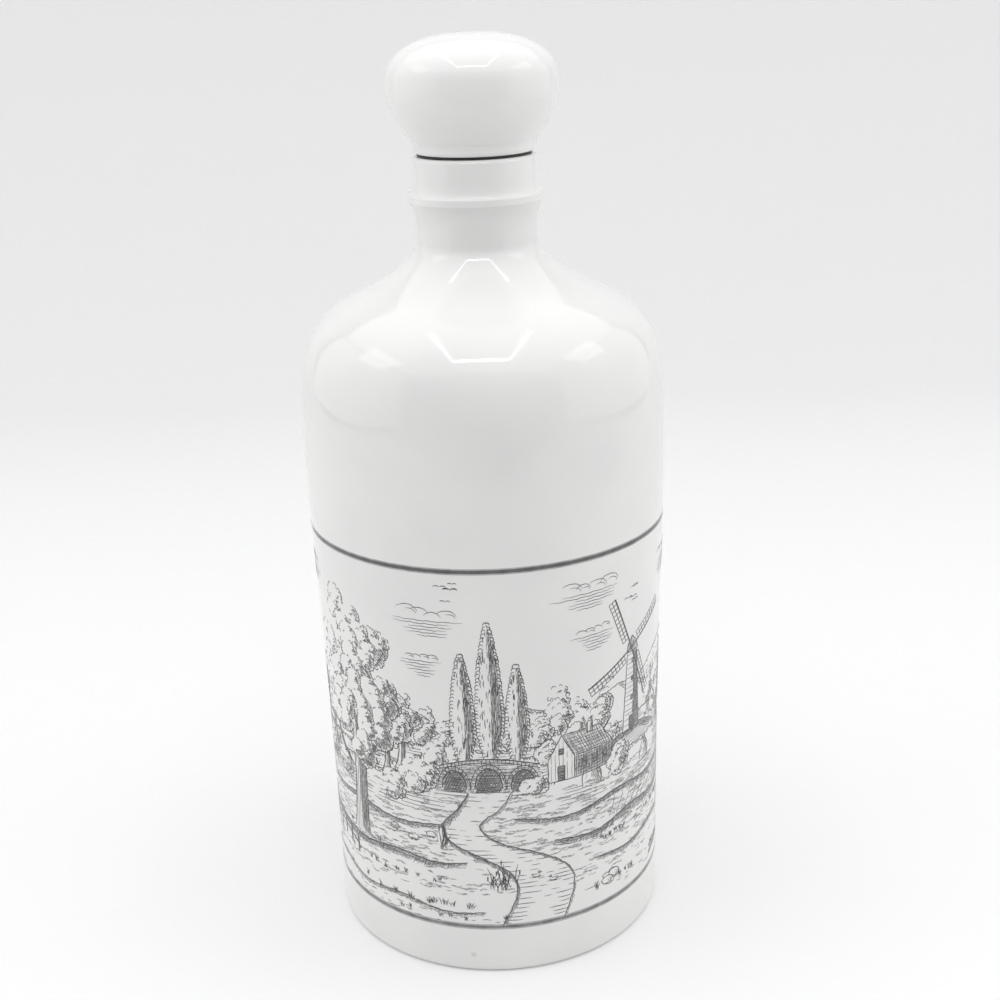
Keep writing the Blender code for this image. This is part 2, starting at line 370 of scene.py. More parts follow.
def bare_foot_and_speck(material):
    tree = material.node_tree
    shader = tree.nodes["Principled BSDF"]
    coords, height = place_and_height(tree)
    rough = mapped(tree, height, BARE_TOP_Z, GLAZE_START_Z, BARE_ROUGHNESS, GLAZE_ROUGHNESS)
    tree.links.new(rough, shader.inputs["Roughness"])
    away = tree.nodes.new("ShaderNodeVectorMath")
    away.operation = "DISTANCE"
    away.inputs[1].default_value = SPECK_PLACE
    tree.links.new(coords, away.inputs[0])
    spot = mapped(tree, away.outputs["Value"], SPECK_CORE, SPECK_EDGE, SPECK_SHADE, 1.0)
    tint = tree.nodes.new("ShaderNodeMixRGB")
    tint.blend_type = "MULTIPLY"
    tint.inputs["Fac"].default_value = 1
    tree.links.new(shader.inputs["Base Color"].links[0].from_socket, tint.inputs["Color1"])
    tree.links.new(spot, tint.inputs["Color2"])
    tree.links.new(tint.outputs["Color"], shader.inputs["Base Color"])


# %% Bottle
bottle = turned("glazed_bottle", bottle_outline())
bottle.data.materials.append(glazed_porcelain("bottle_porcelain", BOTTLE_WHITE))
bare_foot_and_speck(bottle.data.materials[0])
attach(bottle, "bottle")
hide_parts("bottle")

# %% [markdown]
# The knob is a slip casting too. Its crown is flatter than a ball, so its dome is a superellipse, whose
# power says how full it is; its belly draws in to a short foot as wide as the bottle's lip.

# %% Knob
KNOB_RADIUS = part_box("stopper_knob")[1].x
KNOB_TOP_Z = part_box("stopper_knob")[1].z
SPIGOT_END_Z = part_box("stopper_knob")[0].z
CROWN_HEIGHT = 0.0108
CROWN_POWER = 2.35
BELLY_HEIGHT = 0.0132
KNOB_FOOT_ROUND = 0.0014
KNOB_WALL = 0.0032
SPIGOT_RADIUS = 0.0078
SPIGOT_HOLE_RADIUS = 0.0048
SPIGOT_BEAD_REACH = 0.0006
SPIGOT_BEAD_LENGTH = 0.0022
BELLY_SLOPE = math.radians(50)
BELLY_SHARES = (0.46, 0.30)
WIDEST_Z = KNOB_TOP_Z - CROWN_HEIGHT
FOOT_TOP_Z = WIDEST_Z - BELLY_HEIGHT
FOOT_Z = seal_high.z + MEET_GAP


def crown_line(radius, height):
    steps = 2 * SWEEP_STEPS
    places = []
    for step in range(steps + 1):
        angle = math.pi / 2 * (1 - step / steps)
        out = math.cos(angle) ** (2 / CROWN_POWER)
        up = math.sin(angle) ** (2 / CROWN_POWER)
        places.append(place(radius * out, WIDEST_Z + height * up))
    return places


def belly_line():
    high = place(KNOB_RADIUS, WIDEST_Z)
    low = place(LIP_RADIUS, FOOT_TOP_Z)
    slope = place(math.cos(BELLY_SLOPE), math.sin(BELLY_SLOPE))
    drop = place(0, BELLY_HEIGHT * BELLY_SHARES[0])
    return sweep(high, high - drop, low + slope * (BELLY_HEIGHT * BELLY_SHARES[1]), low)


def knob_outline():
    belly = belly_line()
    bead_top = SPIGOT_END_Z + SPIGOT_BEAD_LENGTH
    foot_centre = place(LIP_RADIUS - KNOB_FOOT_ROUND, FOOT_Z + KNOB_FOOT_ROUND)
    bead_high = place(SPIGOT_RADIUS, bead_top - SPIGOT_BEAD_REACH)
    bead_low = place(SPIGOT_RADIUS, SPIGOT_END_Z + SPIGOT_BEAD_REACH)
    hollow_side = set_in(list(reversed(belly)), KNOB_WALL)
    hollow_crown = crown_line(KNOB_RADIUS - KNOB_WALL, CROWN_HEIGHT - KNOB_WALL)
    return join(
        crown_line(KNOB_RADIUS, CROWN_HEIGHT), belly,
        round_edge(foot_centre, KNOB_FOOT_ROUND, 0, -90), [place(SPIGOT_RADIUS, FOOT_Z)],
        round_edge(bead_high, SPIGOT_BEAD_REACH, 90, 0), round_edge(bead_low, SPIGOT_BEAD_REACH, 0, -90),
        [place(SPIGOT_HOLE_RADIUS, SPIGOT_END_Z), place(SPIGOT_HOLE_RADIUS, FOOT_TOP_Z)],
        hollow_side, reversed(hollow_crown),
    )


knob = turned("glazed_knob", knob_outline())
knob.data.materials.append(glazed_porcelain("knob_porcelain", KNOB_WHITE_PAINTED_LIGHTER))
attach(knob, "stopper")
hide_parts("stopper_knob")

# %% [markdown]
# The seal is a rubber sleeve whose four ribs press on the bore. Its flange is all that shows: the thin
# dark line between knob and lip. That dark grey is partly the rubber's own colour and partly painted
# shade for the shadow in the gap.

# %% Seal
SLEEVE_THICKNESS = 0.0012
RIB_COUNT = 4
RIB_REACH = 0.0007
RIB_WIDTH = 0.0012
FIRST_RIB_DEPTH = 0.0032
LAST_RIB_MARGIN = 0.0024
SEAL_TURN_STEPS = 96
# Painted shade: the flange's dark grey also stands for the shadow in the gap between knob and lip.
RUBBER_GREY_AND_GAP_SHADE = (0.06, 0.06, 0.062, 1)
RUBBER_ROUGHNESS = 0.55
MOTTLE_SCALE = 900
GRAIN_SCALE = 2500
GRAIN_DEPTH = 0.00005


def seal_outline():
    flange_low = seal_high.z - FLANGE_THICKNESS
    flange_radius = seal_high.x
    sleeve_radius = BORE_RADIUS - BORE_CLEARANCE - RIB_REACH
    bore_radius = sleeve_radius - SLEEVE_THICKNESS
    sleeve_length = flange_low - seal_low.z
    pitch = (sleeve_length - FIRST_RIB_DEPTH - LAST_RIB_MARGIN) / (RIB_COUNT - 1)
    edge_round = FLANGE_THICKNESS / 2
    edge = round_edge(place(flange_radius - edge_round, flange_low + edge_round), edge_round, 90, -90)
    ribs = []
    for rib in range(RIB_COUNT):
        middle = flange_low - FIRST_RIB_DEPTH - rib * pitch
        for step in range(ROUND_STEPS + 1):
            swing = math.pi * step / ROUND_STEPS
            rise = RIB_WIDTH * math.cos(swing)
            ribs.append(place(sleeve_radius + RIB_REACH * math.sin(swing), middle + rise))
    return join(
        [place(bore_radius, seal_high.z)], edge, [place(sleeve_radius, flange_low)], ribs,
        [place(sleeve_radius, seal_low.z), place(bore_radius, seal_low.z)],
    )


def seal_rubber():
    material, tree, shader = new_material("seal_rubber", RUBBER_GREY_AND_GAP_SHADE, RUBBER_ROUGHNESS)
    mottle = object_noise(tree, MOTTLE_SCALE, 3)
    colour = two_tone(tree, mottle, (0.05, 0.05, 0.052, 1), (0.07, 0.07, 0.072, 1))
    tree.links.new(colour, shader.inputs["Base Color"])
    grain = bump(tree, object_noise(tree, GRAIN_SCALE, 2), GRAIN_DEPTH, 0.4)
    tree.links.new(grain, shader.inputs["Normal"])
    return material


seal = turned("rubber_seal", seal_outline(), closed=True, steps=SEAL_TURN_STEPS)
seal.data.materials.append(seal_rubber())
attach(seal, "seal")
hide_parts("stopper_seal")

# %% [markdown]
# The print is a transfer: a country scene in fine dark lines, fired into the glaze between two ring
# lines. A picture file could be wrapped round the bottle, but lines stay sharp at any distance only when
# they are geometry. So the scene is drawn stroke by stroke on a flat band, in millimetres: u runs round
# the bottle and v runs up it. Each stroke becomes a thin film of ink that is bent round the body.
#
# The nearest things are drawn first. A grid of small cells remembers what they cover, and later strokes
# show only where nothing nearer hides them.

# %% The flat band
ROUND_MM = 270.0
PRINT_LOW = 13.3
PRINT_HIGH = 108.2
CELL = 0.15
LINE_STEP = 0.3
COLUMNS = round(ROUND_MM / CELL)
hidden = np.zeros((round(PRINT_HIGH / CELL), COLUMNS), dtype=bool)
drawn = {"front": [], "trees": [], "middle": [], "far": [], "sky": [], "wash": []}
layer = "front"
hand = random.Random(7)


def cells(spots):
    columns = np.floor(spots[:, 0] / CELL).astype(int) % COLUMNS
    rows = np.clip(np.floor(spots[:, 1] / CELL).astype(int), 0, len(hidden) - 1)
    return rows, columns


def crossings(outline, level):
    """Where a closed outline crosses a level line, from left to right."""
    start, end = outline, np.roll(outline, -1, axis=0)
    meets = (start[:, 1] <= level) != (end[:, 1] <= level)
    start, end = start[meets], end[meets]
    share = (level - start[:, 1]) / (end[:, 1] - start[:, 1])
    return np.sort(start[:, 0] + share * (end[:, 0] - start[:, 0]))


def cover(outline):
    """Nothing drawn later shows inside this outline."""
    outline = np.asarray(outline, dtype=float)
    low = max(int(outline[:, 1].min() / CELL), 0)
    high = min(int(outline[:, 1].max() / CELL) + 1, len(hidden))
    for row in range(low, high):
        meets = crossings(outline, (row + 0.5) * CELL)
        for left, right in zip(meets[::2], meets[1::2]):
            columns = np.arange(math.ceil(left / CELL - 0.5), math.floor(right / CELL - 0.5) + 1)
            hidden[row, columns % COLUMNS] = True

# %% [markdown]
# A line is a row of places. A few given places become a flowing line by a Catmull-Rom curve, and even
# steps along it let it swing and swell smoothly. Of these, only the places that the shape needs are
# kept for the mesh.

# %% Lines
SHAPE_SLACK = 0.035
LONGEST_STRAIGHT = 1.8


def evenly(line, step=LINE_STEP):
    line = np.asarray(line, dtype=float)
    lengths = np.hypot(*np.diff(line, axis=0).T)
    marks = np.concatenate(([0], np.cumsum(lengths)))
    wanted = np.linspace(0, marks[-1], max(round(marks[-1] / step) + 1, 3))
    return np.stack([np.interp(wanted, marks, line[:, axis]) for axis in (0, 1)], axis=1)


def curved(line, parts=8):
    """A smooth line through a few places (Catmull-Rom)."""
    line = np.asarray(line, dtype=float)
    ends = np.vstack((2 * line[0] - line[1], line, 2 * line[-1] - line[-2]))
    share = np.linspace(0, 1, parts, endpoint=False)[:, None]
    stretches = []
    for a, b, c, d in zip(ends, ends[1:], ends[2:], ends[3:]):
        stretches.append(0.5 * (2 * b + (c - a) * share + (2 * a - 5 * b + 4 * c - d) * share ** 2
                                + (3 * b - a - 3 * c + d) * share ** 3))
    return np.vstack(stretches + [line[-1:]])


def plainer(line):
    """The fewest places that keep a line's shape."""
    keep = [0, len(line) - 1]
    stack = [(0, len(line) - 1)]
    while stack:
        first, last = stack.pop()
        if last - first < 2:
            continue
        chord = line[last] - line[first]
        length = math.hypot(*chord) + 1e-9
        offset = line[first + 1:last] - line[first]
        away = np.abs(offset[:, 0] * chord[1] - offset[:, 1] * chord[0]) / length
        middle = first + 1 + int(away.argmax())
        if away.max() < SHAPE_SLACK:
            if abs(chord[0]) < LONGEST_STRAIGHT:
                continue
            middle = (first + last) // 2
        keep.append(middle)
        stack += [(first, middle), (middle, last)]
    return sorted(keep)

# %% [markdown]
# A hand never draws an even line. Each stroke swings a little, swells in the middle and thins at its
# ends, as a cut line does when the tool goes in and comes out of the plate.

# %% Strokes
def waver(count, reach):
    """A slow swing to and fro, as a hand gives a line."""
    along = np.arange(count) * LINE_STEP
    return sum(
        share * np.sin(2 * math.pi * (along / (reach * stretch) + hand.random()))
        for share, stretch in ((0.6, 1.0), (0.4, 0.43))
    )


def sideways(line):
    """At each place of a line, the direction square to it, towards its left."""
    along = np.gradient(line, axis=0)
    along /= np.hypot(along[:, 0], along[:, 1])[:, None] + 1e-9
    return np.stack((-along[:, 1], along[:, 0]), axis=1)


def ink(line, width, taper=0.6, swing=0.07, into=None):
    """One cut line, by its width, how much its ends thin and how far it swings.

    It shows only where nothing nearer hides it.
    """
    line = evenly(line)
    count = len(line)
    line = line + sideways(line) * (swing * waver(count, 4.0))[:, None]
    swell = 1 - taper * np.abs(np.linspace(-1, 1, count)) ** 2.5
    widths = width * swell * (1 + 0.14 * waver(count, 2.5))
    shows = ~hidden[cells(line)] & (line[:, 1] > PRINT_LOW) & (line[:, 1] < PRINT_HIGH)
    edges = np.flatnonzero(np.diff(np.concatenate(([0], shows.astype(int), [0]))))
    for first, last in zip(edges[::2], edges[1::2]):
        if last - first >= 3:
            part, part_widths = line[first:last], widths[first:last]
            keep = plainer(part)
            drawn[into or layer].append((part[keep], part_widths[keep]))

# %% [markdown]
# An engraver has only lines, so a tone is many of them: close together for shade, wide apart for light.
# Under them lies a paler grey, laid on with broad soft strokes.

# %% Tones
def hatch(outline, degrees, spacing, width, broken=0.0, taper=0.5, swing=0.05, ragged=0.4, into=None):
    """Parallel lines that fill an outline; the share called broken have gaps in them."""
    outline = np.asarray(outline, dtype=float)
    angle = math.radians(degrees)
    turn = np.array(((math.cos(angle), -math.sin(angle)), (math.sin(angle), math.cos(angle))))
    flat = outline @ turn
    level = flat[:, 1].min() + spacing * hand.uniform(0.2, 0.8)
    while level < flat[:, 1].max():
        meets = crossings(flat, level)
        for left, right in zip(meets[::2], meets[1::2]):
            left, right = left + ragged * hand.random(), right - ragged * hand.random()
            while right - left > 0.5:
                end = right
                if broken and hand.random() < broken:
                    end = left + (right - left) * hand.uniform(0.3, 0.8)
                ink(np.array(((left, level), (end, level))) @ turn.T, width, taper, swing, into)
                left = end + hand.uniform(0.3, 1.2)
        level += spacing * hand.uniform(0.8, 1.2)


def soft(line, width):
    """One broad stroke of the paler grey that lies under the lines."""
    ink(line, width, 0.5, 0.2, "wash")


def wash(outline, degrees, spacing=0.5, width=0.44, broken=0.2):
    """An outline filled with the paler grey."""
    hatch(outline, degrees, spacing, width, broken, 0.4, 0.1, 0.7, "wash")


def edged(outline, width=0.26):
    outline = np.asarray(outline, dtype=float)
    for start, end in zip(outline, np.roll(outline, -1, axis=0)):
        ink((start, end), width, 0.25, 0.05)


def solid(outline, width=0.26):
    """An edge that also hides what is drawn later inside it."""
    edged(outline, width)
    cover(outline)

# %% [markdown]
# Blades, ovals and things alike on both sides come back in many motifs, so they have helpers too.

# %% Small shapes
def blade(u, v, lean, rise, width, parts):
    """One bent blade of grass or reed."""
    ink(curved(((u, v), (u + lean * 0.3, v + rise * 0.6), (u + lean, v + rise)), parts), width, 0.7, 0.02)


def flanks(u, v, width, height, profile):
    """The left and right edges of something that is alike on both sides."""
    return [curved([(u + side * width * out, v + height * up) for up, out in profile]) for side in (-1, 1)]


def arc(centre, radius, first, last, squash=1.0, parts=9):
    angles = np.radians(np.linspace(first, last, parts))
    return np.stack((centre[0] + radius * np.cos(angles), centre[1] + radius * squash * np.sin(angles)), 1)


def on_rim(centre, radius, degrees, squash):
    return arc(centre, radius, degrees, degrees, squash, 1)[0]


def oval(centre, radius, squash, parts=9):
    return arc(centre, radius, 0, 360, squash, parts)[:-1]

# %% [markdown]
# Leaves are drawn as clumps: a scalloped edge, small curls and a hatched side away from the light, which
# comes from the upper left. A crown is a heap of clumps.

# %% Leaves
SCALLOP = 0.9


def clump(u, v, radius, shade):
    """A rounded mass of leaves, lit from the upper left."""
    squash = 0.86
    bumps = max(round(2 * math.pi * radius / SCALLOP), 7)
    start = hand.uniform(0, 360)
    size = math.pi * radius / bumps
    for bump_index in range(bumps):
        at = start + 360 * bump_index / bumps
        lit = math.cos(math.radians(at - 130))
        if hand.random() < 0.62 - 0.35 * lit:
            spot = on_rim((u, v), radius * hand.uniform(0.93, 1.03), at, squash)
            leaf = arc(spot, size * hand.uniform(0.8, 1.3), at - 100, at + 85, 1, 6)
            ink(leaf, 0.20 - 0.05 * lit, 0.5, 0.02)
    for _ in range(int((0.5 + shade) * radius * radius * 1.15)):
        turn = math.radians(hand.uniform(-125, 60))
        away = radius * math.sqrt(hand.uniform(0.02, 0.85))
        spot = (u + away * math.cos(turn), v + away * squash * math.sin(turn))
        lean = hand.uniform(-40, 60)
        ink(arc(spot, hand.uniform(0.28, 0.5), lean, lean + 170, 1, 5), 0.2, 0.4, 0.02)
    inner = (u - radius * 0.45 * shade, v + radius * 0.4 * shade)
    rim = arc((u, v), radius * 0.98, -115, 48, squash, 14)
    side = np.vstack((rim, arc(inner, radius * 0.95, 30, -95, squash, 10)))
    hatch(side, -58 + hand.uniform(-8, 8), 0.52 / max(shade, 0.55), 0.17, 0.25)
    wash(side, -58, 0.5 / max(shade, 0.7), 0.44, 0.15)
    cover(oval((u, v), radius, squash, 40))


def leaves(u, v, width, height, clumps, shade):
    """A heap of clumps, the nearest first, that grows darker to the lower right."""
    heap = []
    size = 0.66 * math.sqrt(width * height / clumps)
    for index in range(clumps):
        turn, away = index * 2.4 + hand.uniform(-0.4, 0.4), math.sqrt((index + 0.5) / clumps)
        across = (width / 2 - size * 0.8) * away * math.cos(turn)
        up = (height / 2 - size * 0.8) * away * math.sin(turn)
        heap.append((across, up))
    for across, up in sorted(heap, key=lambda spot: abs(spot[0]) * 0.5 + spot[1]):
        side = across / width - up / height
        clump(u + across, v + up, size * hand.uniform(0.78, 1.15), shade * (0.85 + 0.9 * side))

# %% [markdown]
# A trunk spreads at its foot and has short boughs. It is drawn after its crown, which hides its top.

# %% Trunks
def trunk(u, v, top, width, lean):
    half = (v + top) / 2
    left = curved(((u - width * 1.1, v), (u - width * 0.6, v + 2.2), (u - width * 0.22, half),
                   (u - width * 0.5 + lean, top)))
    right = curved(((u + width * 1.0, v), (u + width * 0.55, v + 2.2), (u + width * 0.62, half),
                    (u + width * 0.42 + lean, top)))
    for side, rise in ((-1, 0.42), (1, 0.5), (-1, 0.62)):
        start = (u + width * 0.3 * side, v + (top - v) * rise)
        bough = curved((start, (start[0] + width * side, start[1] + width * 0.8),
                        (start[0] + width * 1.6 * side, start[1] + width * 2.2)))
        ink(bough, width * 0.22, 0.8, 0.1)
    outline = np.vstack((left, right[::-1]))
    ink(left, 0.28, 0.3)
    ink(right, 0.38, 0.3)
    shade = np.vstack((right - (width * 0.55, 0), right[::-1] - (0.1, 0)))
    hatch(shade, 82, 0.34, 0.17, 0.4)
    hatch(outline, 84, 0.8, 0.14, 0.6)
    wash(shade, 84)
    cover(outline)


def broad_tree(u, v, width, top, clumps, shade):
    height = (top - v) * 0.72
    crown = top - height / 2
    leaves(u, crown, width, height, clumps, shade)
    stem = max(width * 0.16, 1.0)
    trunk(u, v, crown, stem, hand.uniform(-0.6, 0.6))
    tufts(u - stem * 2.5, u + stem * 2.5, v, 4)
    wash(oval((u + width * 0.3, v - 0.4), width * 0.45, 0.1, 24), 2, 0.55, 0.4, 0.4)

# %% [markdown]
# A poplar is one tall flame, with most of its leaves drawn on the shaded side. A bush is a low crown
# without a trunk.

# %% Poplars and bushes
def poplar(u, v, top, width):
    """A tall narrow tree like a flame."""
    height = top - v
    profile = ((0, 0.10), (0.10, 0.30), (0.30, 0.5), (0.5, 0.46), (0.72, 0.33), (0.9, 0.14), (1, 0))
    left, right = flanks(u, v, width, height, profile)
    for edge, side, weight in ((left, -1, 0.2), (right, 1, 0.27)):
        for spot in evenly(edge, 0.95)[:-1]:
            lean = 90 - side * hand.uniform(15, 55)
            ink(arc(spot, hand.uniform(0.4, 0.6), lean - 80, lean + 80, 1.2, 6), weight, 0.4, 0.02)
    for _ in range(int(height * width * 0.85)):
        up = hand.uniform(0.04, 0.92)
        reach = width * float(np.interp(up, [row[0] for row in profile], [row[1] for row in profile]))
        across = hand.uniform(-0.9, 0.95)
        if across < -0.1 and hand.random() < 0.6:
            continue
        spot = (u + reach * across, v + height * up)
        rise = hand.uniform(0.9, 2.0)
        ink(curved((spot, (spot[0] + across * 0.25, spot[1] + rise * 0.5),
                    (spot[0] - across * 0.1, spot[1] + rise)), 4), 0.22, 0.6, 0.02)
    dark = np.vstack((np.stack((u + (right[:, 0] - u) * 0.15, right[:, 1]), axis=1), right[::-1]))
    hatch(dark, 84, 0.36, 0.17, 0.4)
    wash(dark, 84, 0.5, 0.44, 0.1)
    cover(np.vstack((left, right[::-1])))
    for foot, top_of_stem in ((-0.2, -0.15), (0.25, 0.2)):
        ink(((u + foot, v - 0.8), (u + top_of_stem, v + height * 0.05)), 0.3)


def bush(u, v, width, height, clumps, shade):
    leaves(u, v + height * 0.5, width, height * 1.25, clumps, shade)
    for _ in range(int(width * 1.1)):
        at = u + hand.uniform(-0.5, 0.5) * width
        ink(((at, v + 0.5), (at + hand.uniform(-0.9, -0.3), v - hand.uniform(0.2, 0.8))), 0.2)

# %% [markdown]
# Ground is mostly bare, so that it stays light. A firm line with short strokes hanging from it makes the
# edge of a field or the bank of a stream, and grass is drawn in tufts.

# %% Grass and ground
def tufts(first, last, v, count, tall=1.8):
    for _ in range(count):
        u = hand.uniform(first, last)
        base = v + hand.uniform(-0.6, 0.6)
        for _ in range(hand.randint(4, 7)):
            bend = hand.uniform(-0.8, 0.8)
            rise = tall * hand.uniform(0.5, 1.1)
            start = u + hand.uniform(-0.5, 0.5)
            blade(start, base, bend, rise, 0.2, 4)


def bank(line, depth, thick, spacing, lean=-0.8):
    """The edge of a field: a firm line with short strokes that hang from it."""
    line = curved(line)
    ink(line, thick, 0.4, 0.12)
    for share, width in ((0.1, 0.8), (0.38, 0.7), (0.68, 0.45)):
        soft(line + (lean * depth * share * 0.5, -depth * share), width * depth / 1.7)
    spots = evenly(line, spacing * 0.8)
    for share, spot in zip(np.linspace(0, 1, len(spots)), spots):
        drop = depth * hand.uniform(0.35, 1.15) * min(1, 0.25 + 5 * share, 0.25 + 5 * (1 - share))
        start = spot + (hand.uniform(-0.2, 0.2), -0.05)
        ink((start, start + (lean * drop * 0.7, -drop)), 0.2, 0.6, 0.03)
    for share in (0.22, 0.45, 0.75):
        if depth > 1.0 + share:
            lengths = evenly(line - (0, depth * share), hand.uniform(7, 12))
            for start, end in zip(lengths, lengths[1:]):
                if hand.random() < 0.75:
                    stop = start + (end - start) * hand.uniform(0.6, 0.95)
                    ink((start, (start + end) / 2 - (0, 0.1), stop), 0.18, 0.7, 0.15)


def dashes(first, last, low, high, count, longest=3.0, width=0.16):
    for _ in range(count):
        u, v = hand.uniform(first, last), hand.uniform(low, high)
        reach = hand.uniform(0.5, longest)
        ink(((u, v), (u + reach / 2, v + hand.uniform(-0.15, 0.15)), (u + reach, v)), width, 0.7, 0.05)


def dapple(first, last, low, high, count):
    """Short broad touches of the paler grey, so that bare ground isn't blank."""
    for _ in range(count):
        u, v = hand.uniform(first, last), hand.uniform(low, high)
        reach = hand.uniform(1.0, 4.5)
        touch = ((u, v), (u + reach / 2, v + hand.uniform(-0.2, 0.2)), (u + reach, v))
        soft(touch, hand.uniform(0.25, 0.6))

# %% [markdown]
# Still water is nearly blank: a few ripples by each bank are enough. Reeds stand in a loose bunch, which
# is thickest in the middle.

# %% Water and reeds
def water(left, right, spacing):
    """Ripples between two banks, given as lines that run downwards."""
    left, right = curved(left), curved(right)
    level = min(left[:, 1].max(), right[:, 1].max())
    lowest = max(left[:, 1].min(), right[:, 1].min())
    while level > lowest:
        start = float(np.interp(level, left[::-1, 1], left[::-1, 0]))
        end = float(np.interp(level, right[::-1, 1], right[::-1, 0]))
        span = end - start
        near = span * hand.uniform(0.15, 0.45)
        ink(((start + 0.2, level), (start + near, level)), 0.17, 0.7, 0.05)
        ink(((end - span * hand.uniform(0.1, 0.35), level), (end - 0.2, level)), 0.2, 0.7, 0.05)
        if hand.random() < 0.5:
            mid = start + span * hand.uniform(0.35, 0.6)
            ink(((mid, level - 0.2), (mid + span * 0.15, level - 0.2)), 0.15, 0.7, 0.05)
        level -= spacing * hand.uniform(0.7, 1.3)
    cover(np.vstack((left, right[::-1])))


def reeds(first, last, v, count, tall):
    for _ in range(count):
        u = hand.gauss((first + last) / 2, (last - first) / 4)
        base = v + hand.uniform(-1.3, 1.3)
        lean = hand.uniform(-1.6, 1.8)
        rise = tall * hand.uniform(0.35, 1.1)
        blade(u, base, lean, rise, 0.24, 5)
        if hand.random() < 0.35:
            head = (u + lean * 1.02, base + rise)
            ink((head, (head[0] + 0.05, head[1] + 1.2)), 0.55, 0.4, 0.01)

# %% [markdown]
# A fence and a few rocks, drawn large and firm, bring the foreground near.

# %% Fences and rocks
def fence(line, tall, pitch):
    """Leaning posts with two rails."""
    line = curved(line)
    spots = evenly(line, pitch)
    for spot in spots:
        lean, rise = hand.uniform(-0.25, 0.25), tall * hand.uniform(0.88, 1.08)
        top = spot + (lean, rise)
        post = (spot + (-0.28, -0.5), top + (-0.26, 0), top + (0.28, 0.12), spot + (0.3, -0.5))
        edged(post, 0.24)
        hatch(post, 88, 0.24, 0.16)
        cover(post)
    for share in (0.42, 0.78):
        for thick in (0, 0.42):
            heights = [(0, tall * share + thick + hand.uniform(-0.12, 0.12)) for _ in spots]
            ink(spots + heights, 0.22, 0.1, 0.03)


def rocks(u, v, size):
    for _ in range(5):
        at = (u + hand.uniform(-1, 1) * size, v + hand.uniform(-0.3, 0.3) * size)
        rim = oval(at, size * hand.uniform(0.3, 0.55), 0.62)
        rim = rim + [(hand.uniform(-0.25, 0.25), hand.uniform(-0.2, 0.2)) for _ in rim]
        edged(rim)
        hatch(np.vstack((rim[6:], rim[:2], [at])), -50, 0.38, 0.18)
        cover(rim)

# %% [markdown]
# Buildings need flat tones. Each wall is an outline filled with parallel lines, close together on the
# side in shade and wide apart in the light.

# %% Cottages
def opening(u, v, width, height, slope=0.0):
    right, rise = u + width, slope * width
    frame_line = ((u, v), (right, v + rise), (right, v + height + rise), (u, v + height))
    hatch(frame_line, 0, 0.27, 0.24, taper=0.2, swing=0.02, ragged=0.05)
    solid(frame_line, 0.24)


def house(u, v, gable, side, wall, roof, chimney=True, thatch=False):
    """A cottage seen from one corner: a lit gable, and a long side in the shade."""
    rise = side * 0.07
    ridge = (u + gable / 2, v + wall + roof)
    far_ridge = (ridge[0] + side * 0.93, ridge[1] + rise * 0.3)
    near, far = u + gable, u + gable + side
    if chimney:
        left = ridge[0] + side * 0.62
        right, low, high = left + 1.5, ridge[1] - roof * 0.15, ridge[1] + 1.9
        hatch(((left + 0.8, low), (right, low), (right, high), (left + 0.8, high)), 90, 0.25, 0.18)
        solid(((left, low), (right, low), (right, high), (left, high)), 0.28)
        smoke(left + 0.75, ridge[1] + 2.2)
    opening(u + gable * 0.36, v, gable * 0.26, wall * 0.66)
    opening(u + gable * 0.40, v + wall + roof * 0.18, gable * 0.18, roof * 0.24)
    for share in (0.18, 0.46, 0.74):
        opening(near + side * share, v + rise * share + wall * 0.36, side * 0.11, wall * 0.34, 0.07)
    front = ((u, v), (near, v), (near, v + wall), ridge, (u, v + wall))
    edged(front)
    hatch(front, 90, 1.1, 0.12, 0.6)
    cover(front)
    long_side = ((near, v), (far, v + rise), (far, v + wall + rise * 0.6), (near, v + wall))
    hatch(long_side, 90, 0.5, 0.2, 0.1, 0.2)
    hatch(long_side, 4, 1.0, 0.15, 0.3)
    wash(long_side, 90, 0.5, 0.46, 0)
    solid(long_side)
    over = ((near + 0.3, v + wall - 0.6), (far + 0.5, v + wall + rise * 0.6 - 0.5), far_ridge, ridge)
    lean = math.degrees(math.atan2(roof + 0.6, -gable / 2))
    hatch(over, lean, 0.55 if thatch else 0.75, 0.17, 0.5)
    wash(over, lean, 0.7, 0.4, 0.5)
    if not thatch:
        hatch(over, 2, 0.95, 0.15, 0.3)
    solid(over, 0.28)
    tufts(u, far, v - 0.2, int(side / 2), 1.1)


def smoke(u, v):
    for curl in range(5):
        at = (u + curl * 1.5 + hand.uniform(-0.3, 0.3), v + curl * 1.9)
        size = 0.8 + curl * 0.35
        ink(arc(at, size, 200, 20 + hand.uniform(-20, 20), 0.8), 0.15, 0.7, 0.05)
        ink(arc((at[0] + 0.4, at[1] + 0.5), size * 0.6, 10, 170, 0.8), 0.13, 0.7, 0.05)

# %% [markdown]
# A haystack is round, so its strokes fall as the straw does, and its right side is hatched.

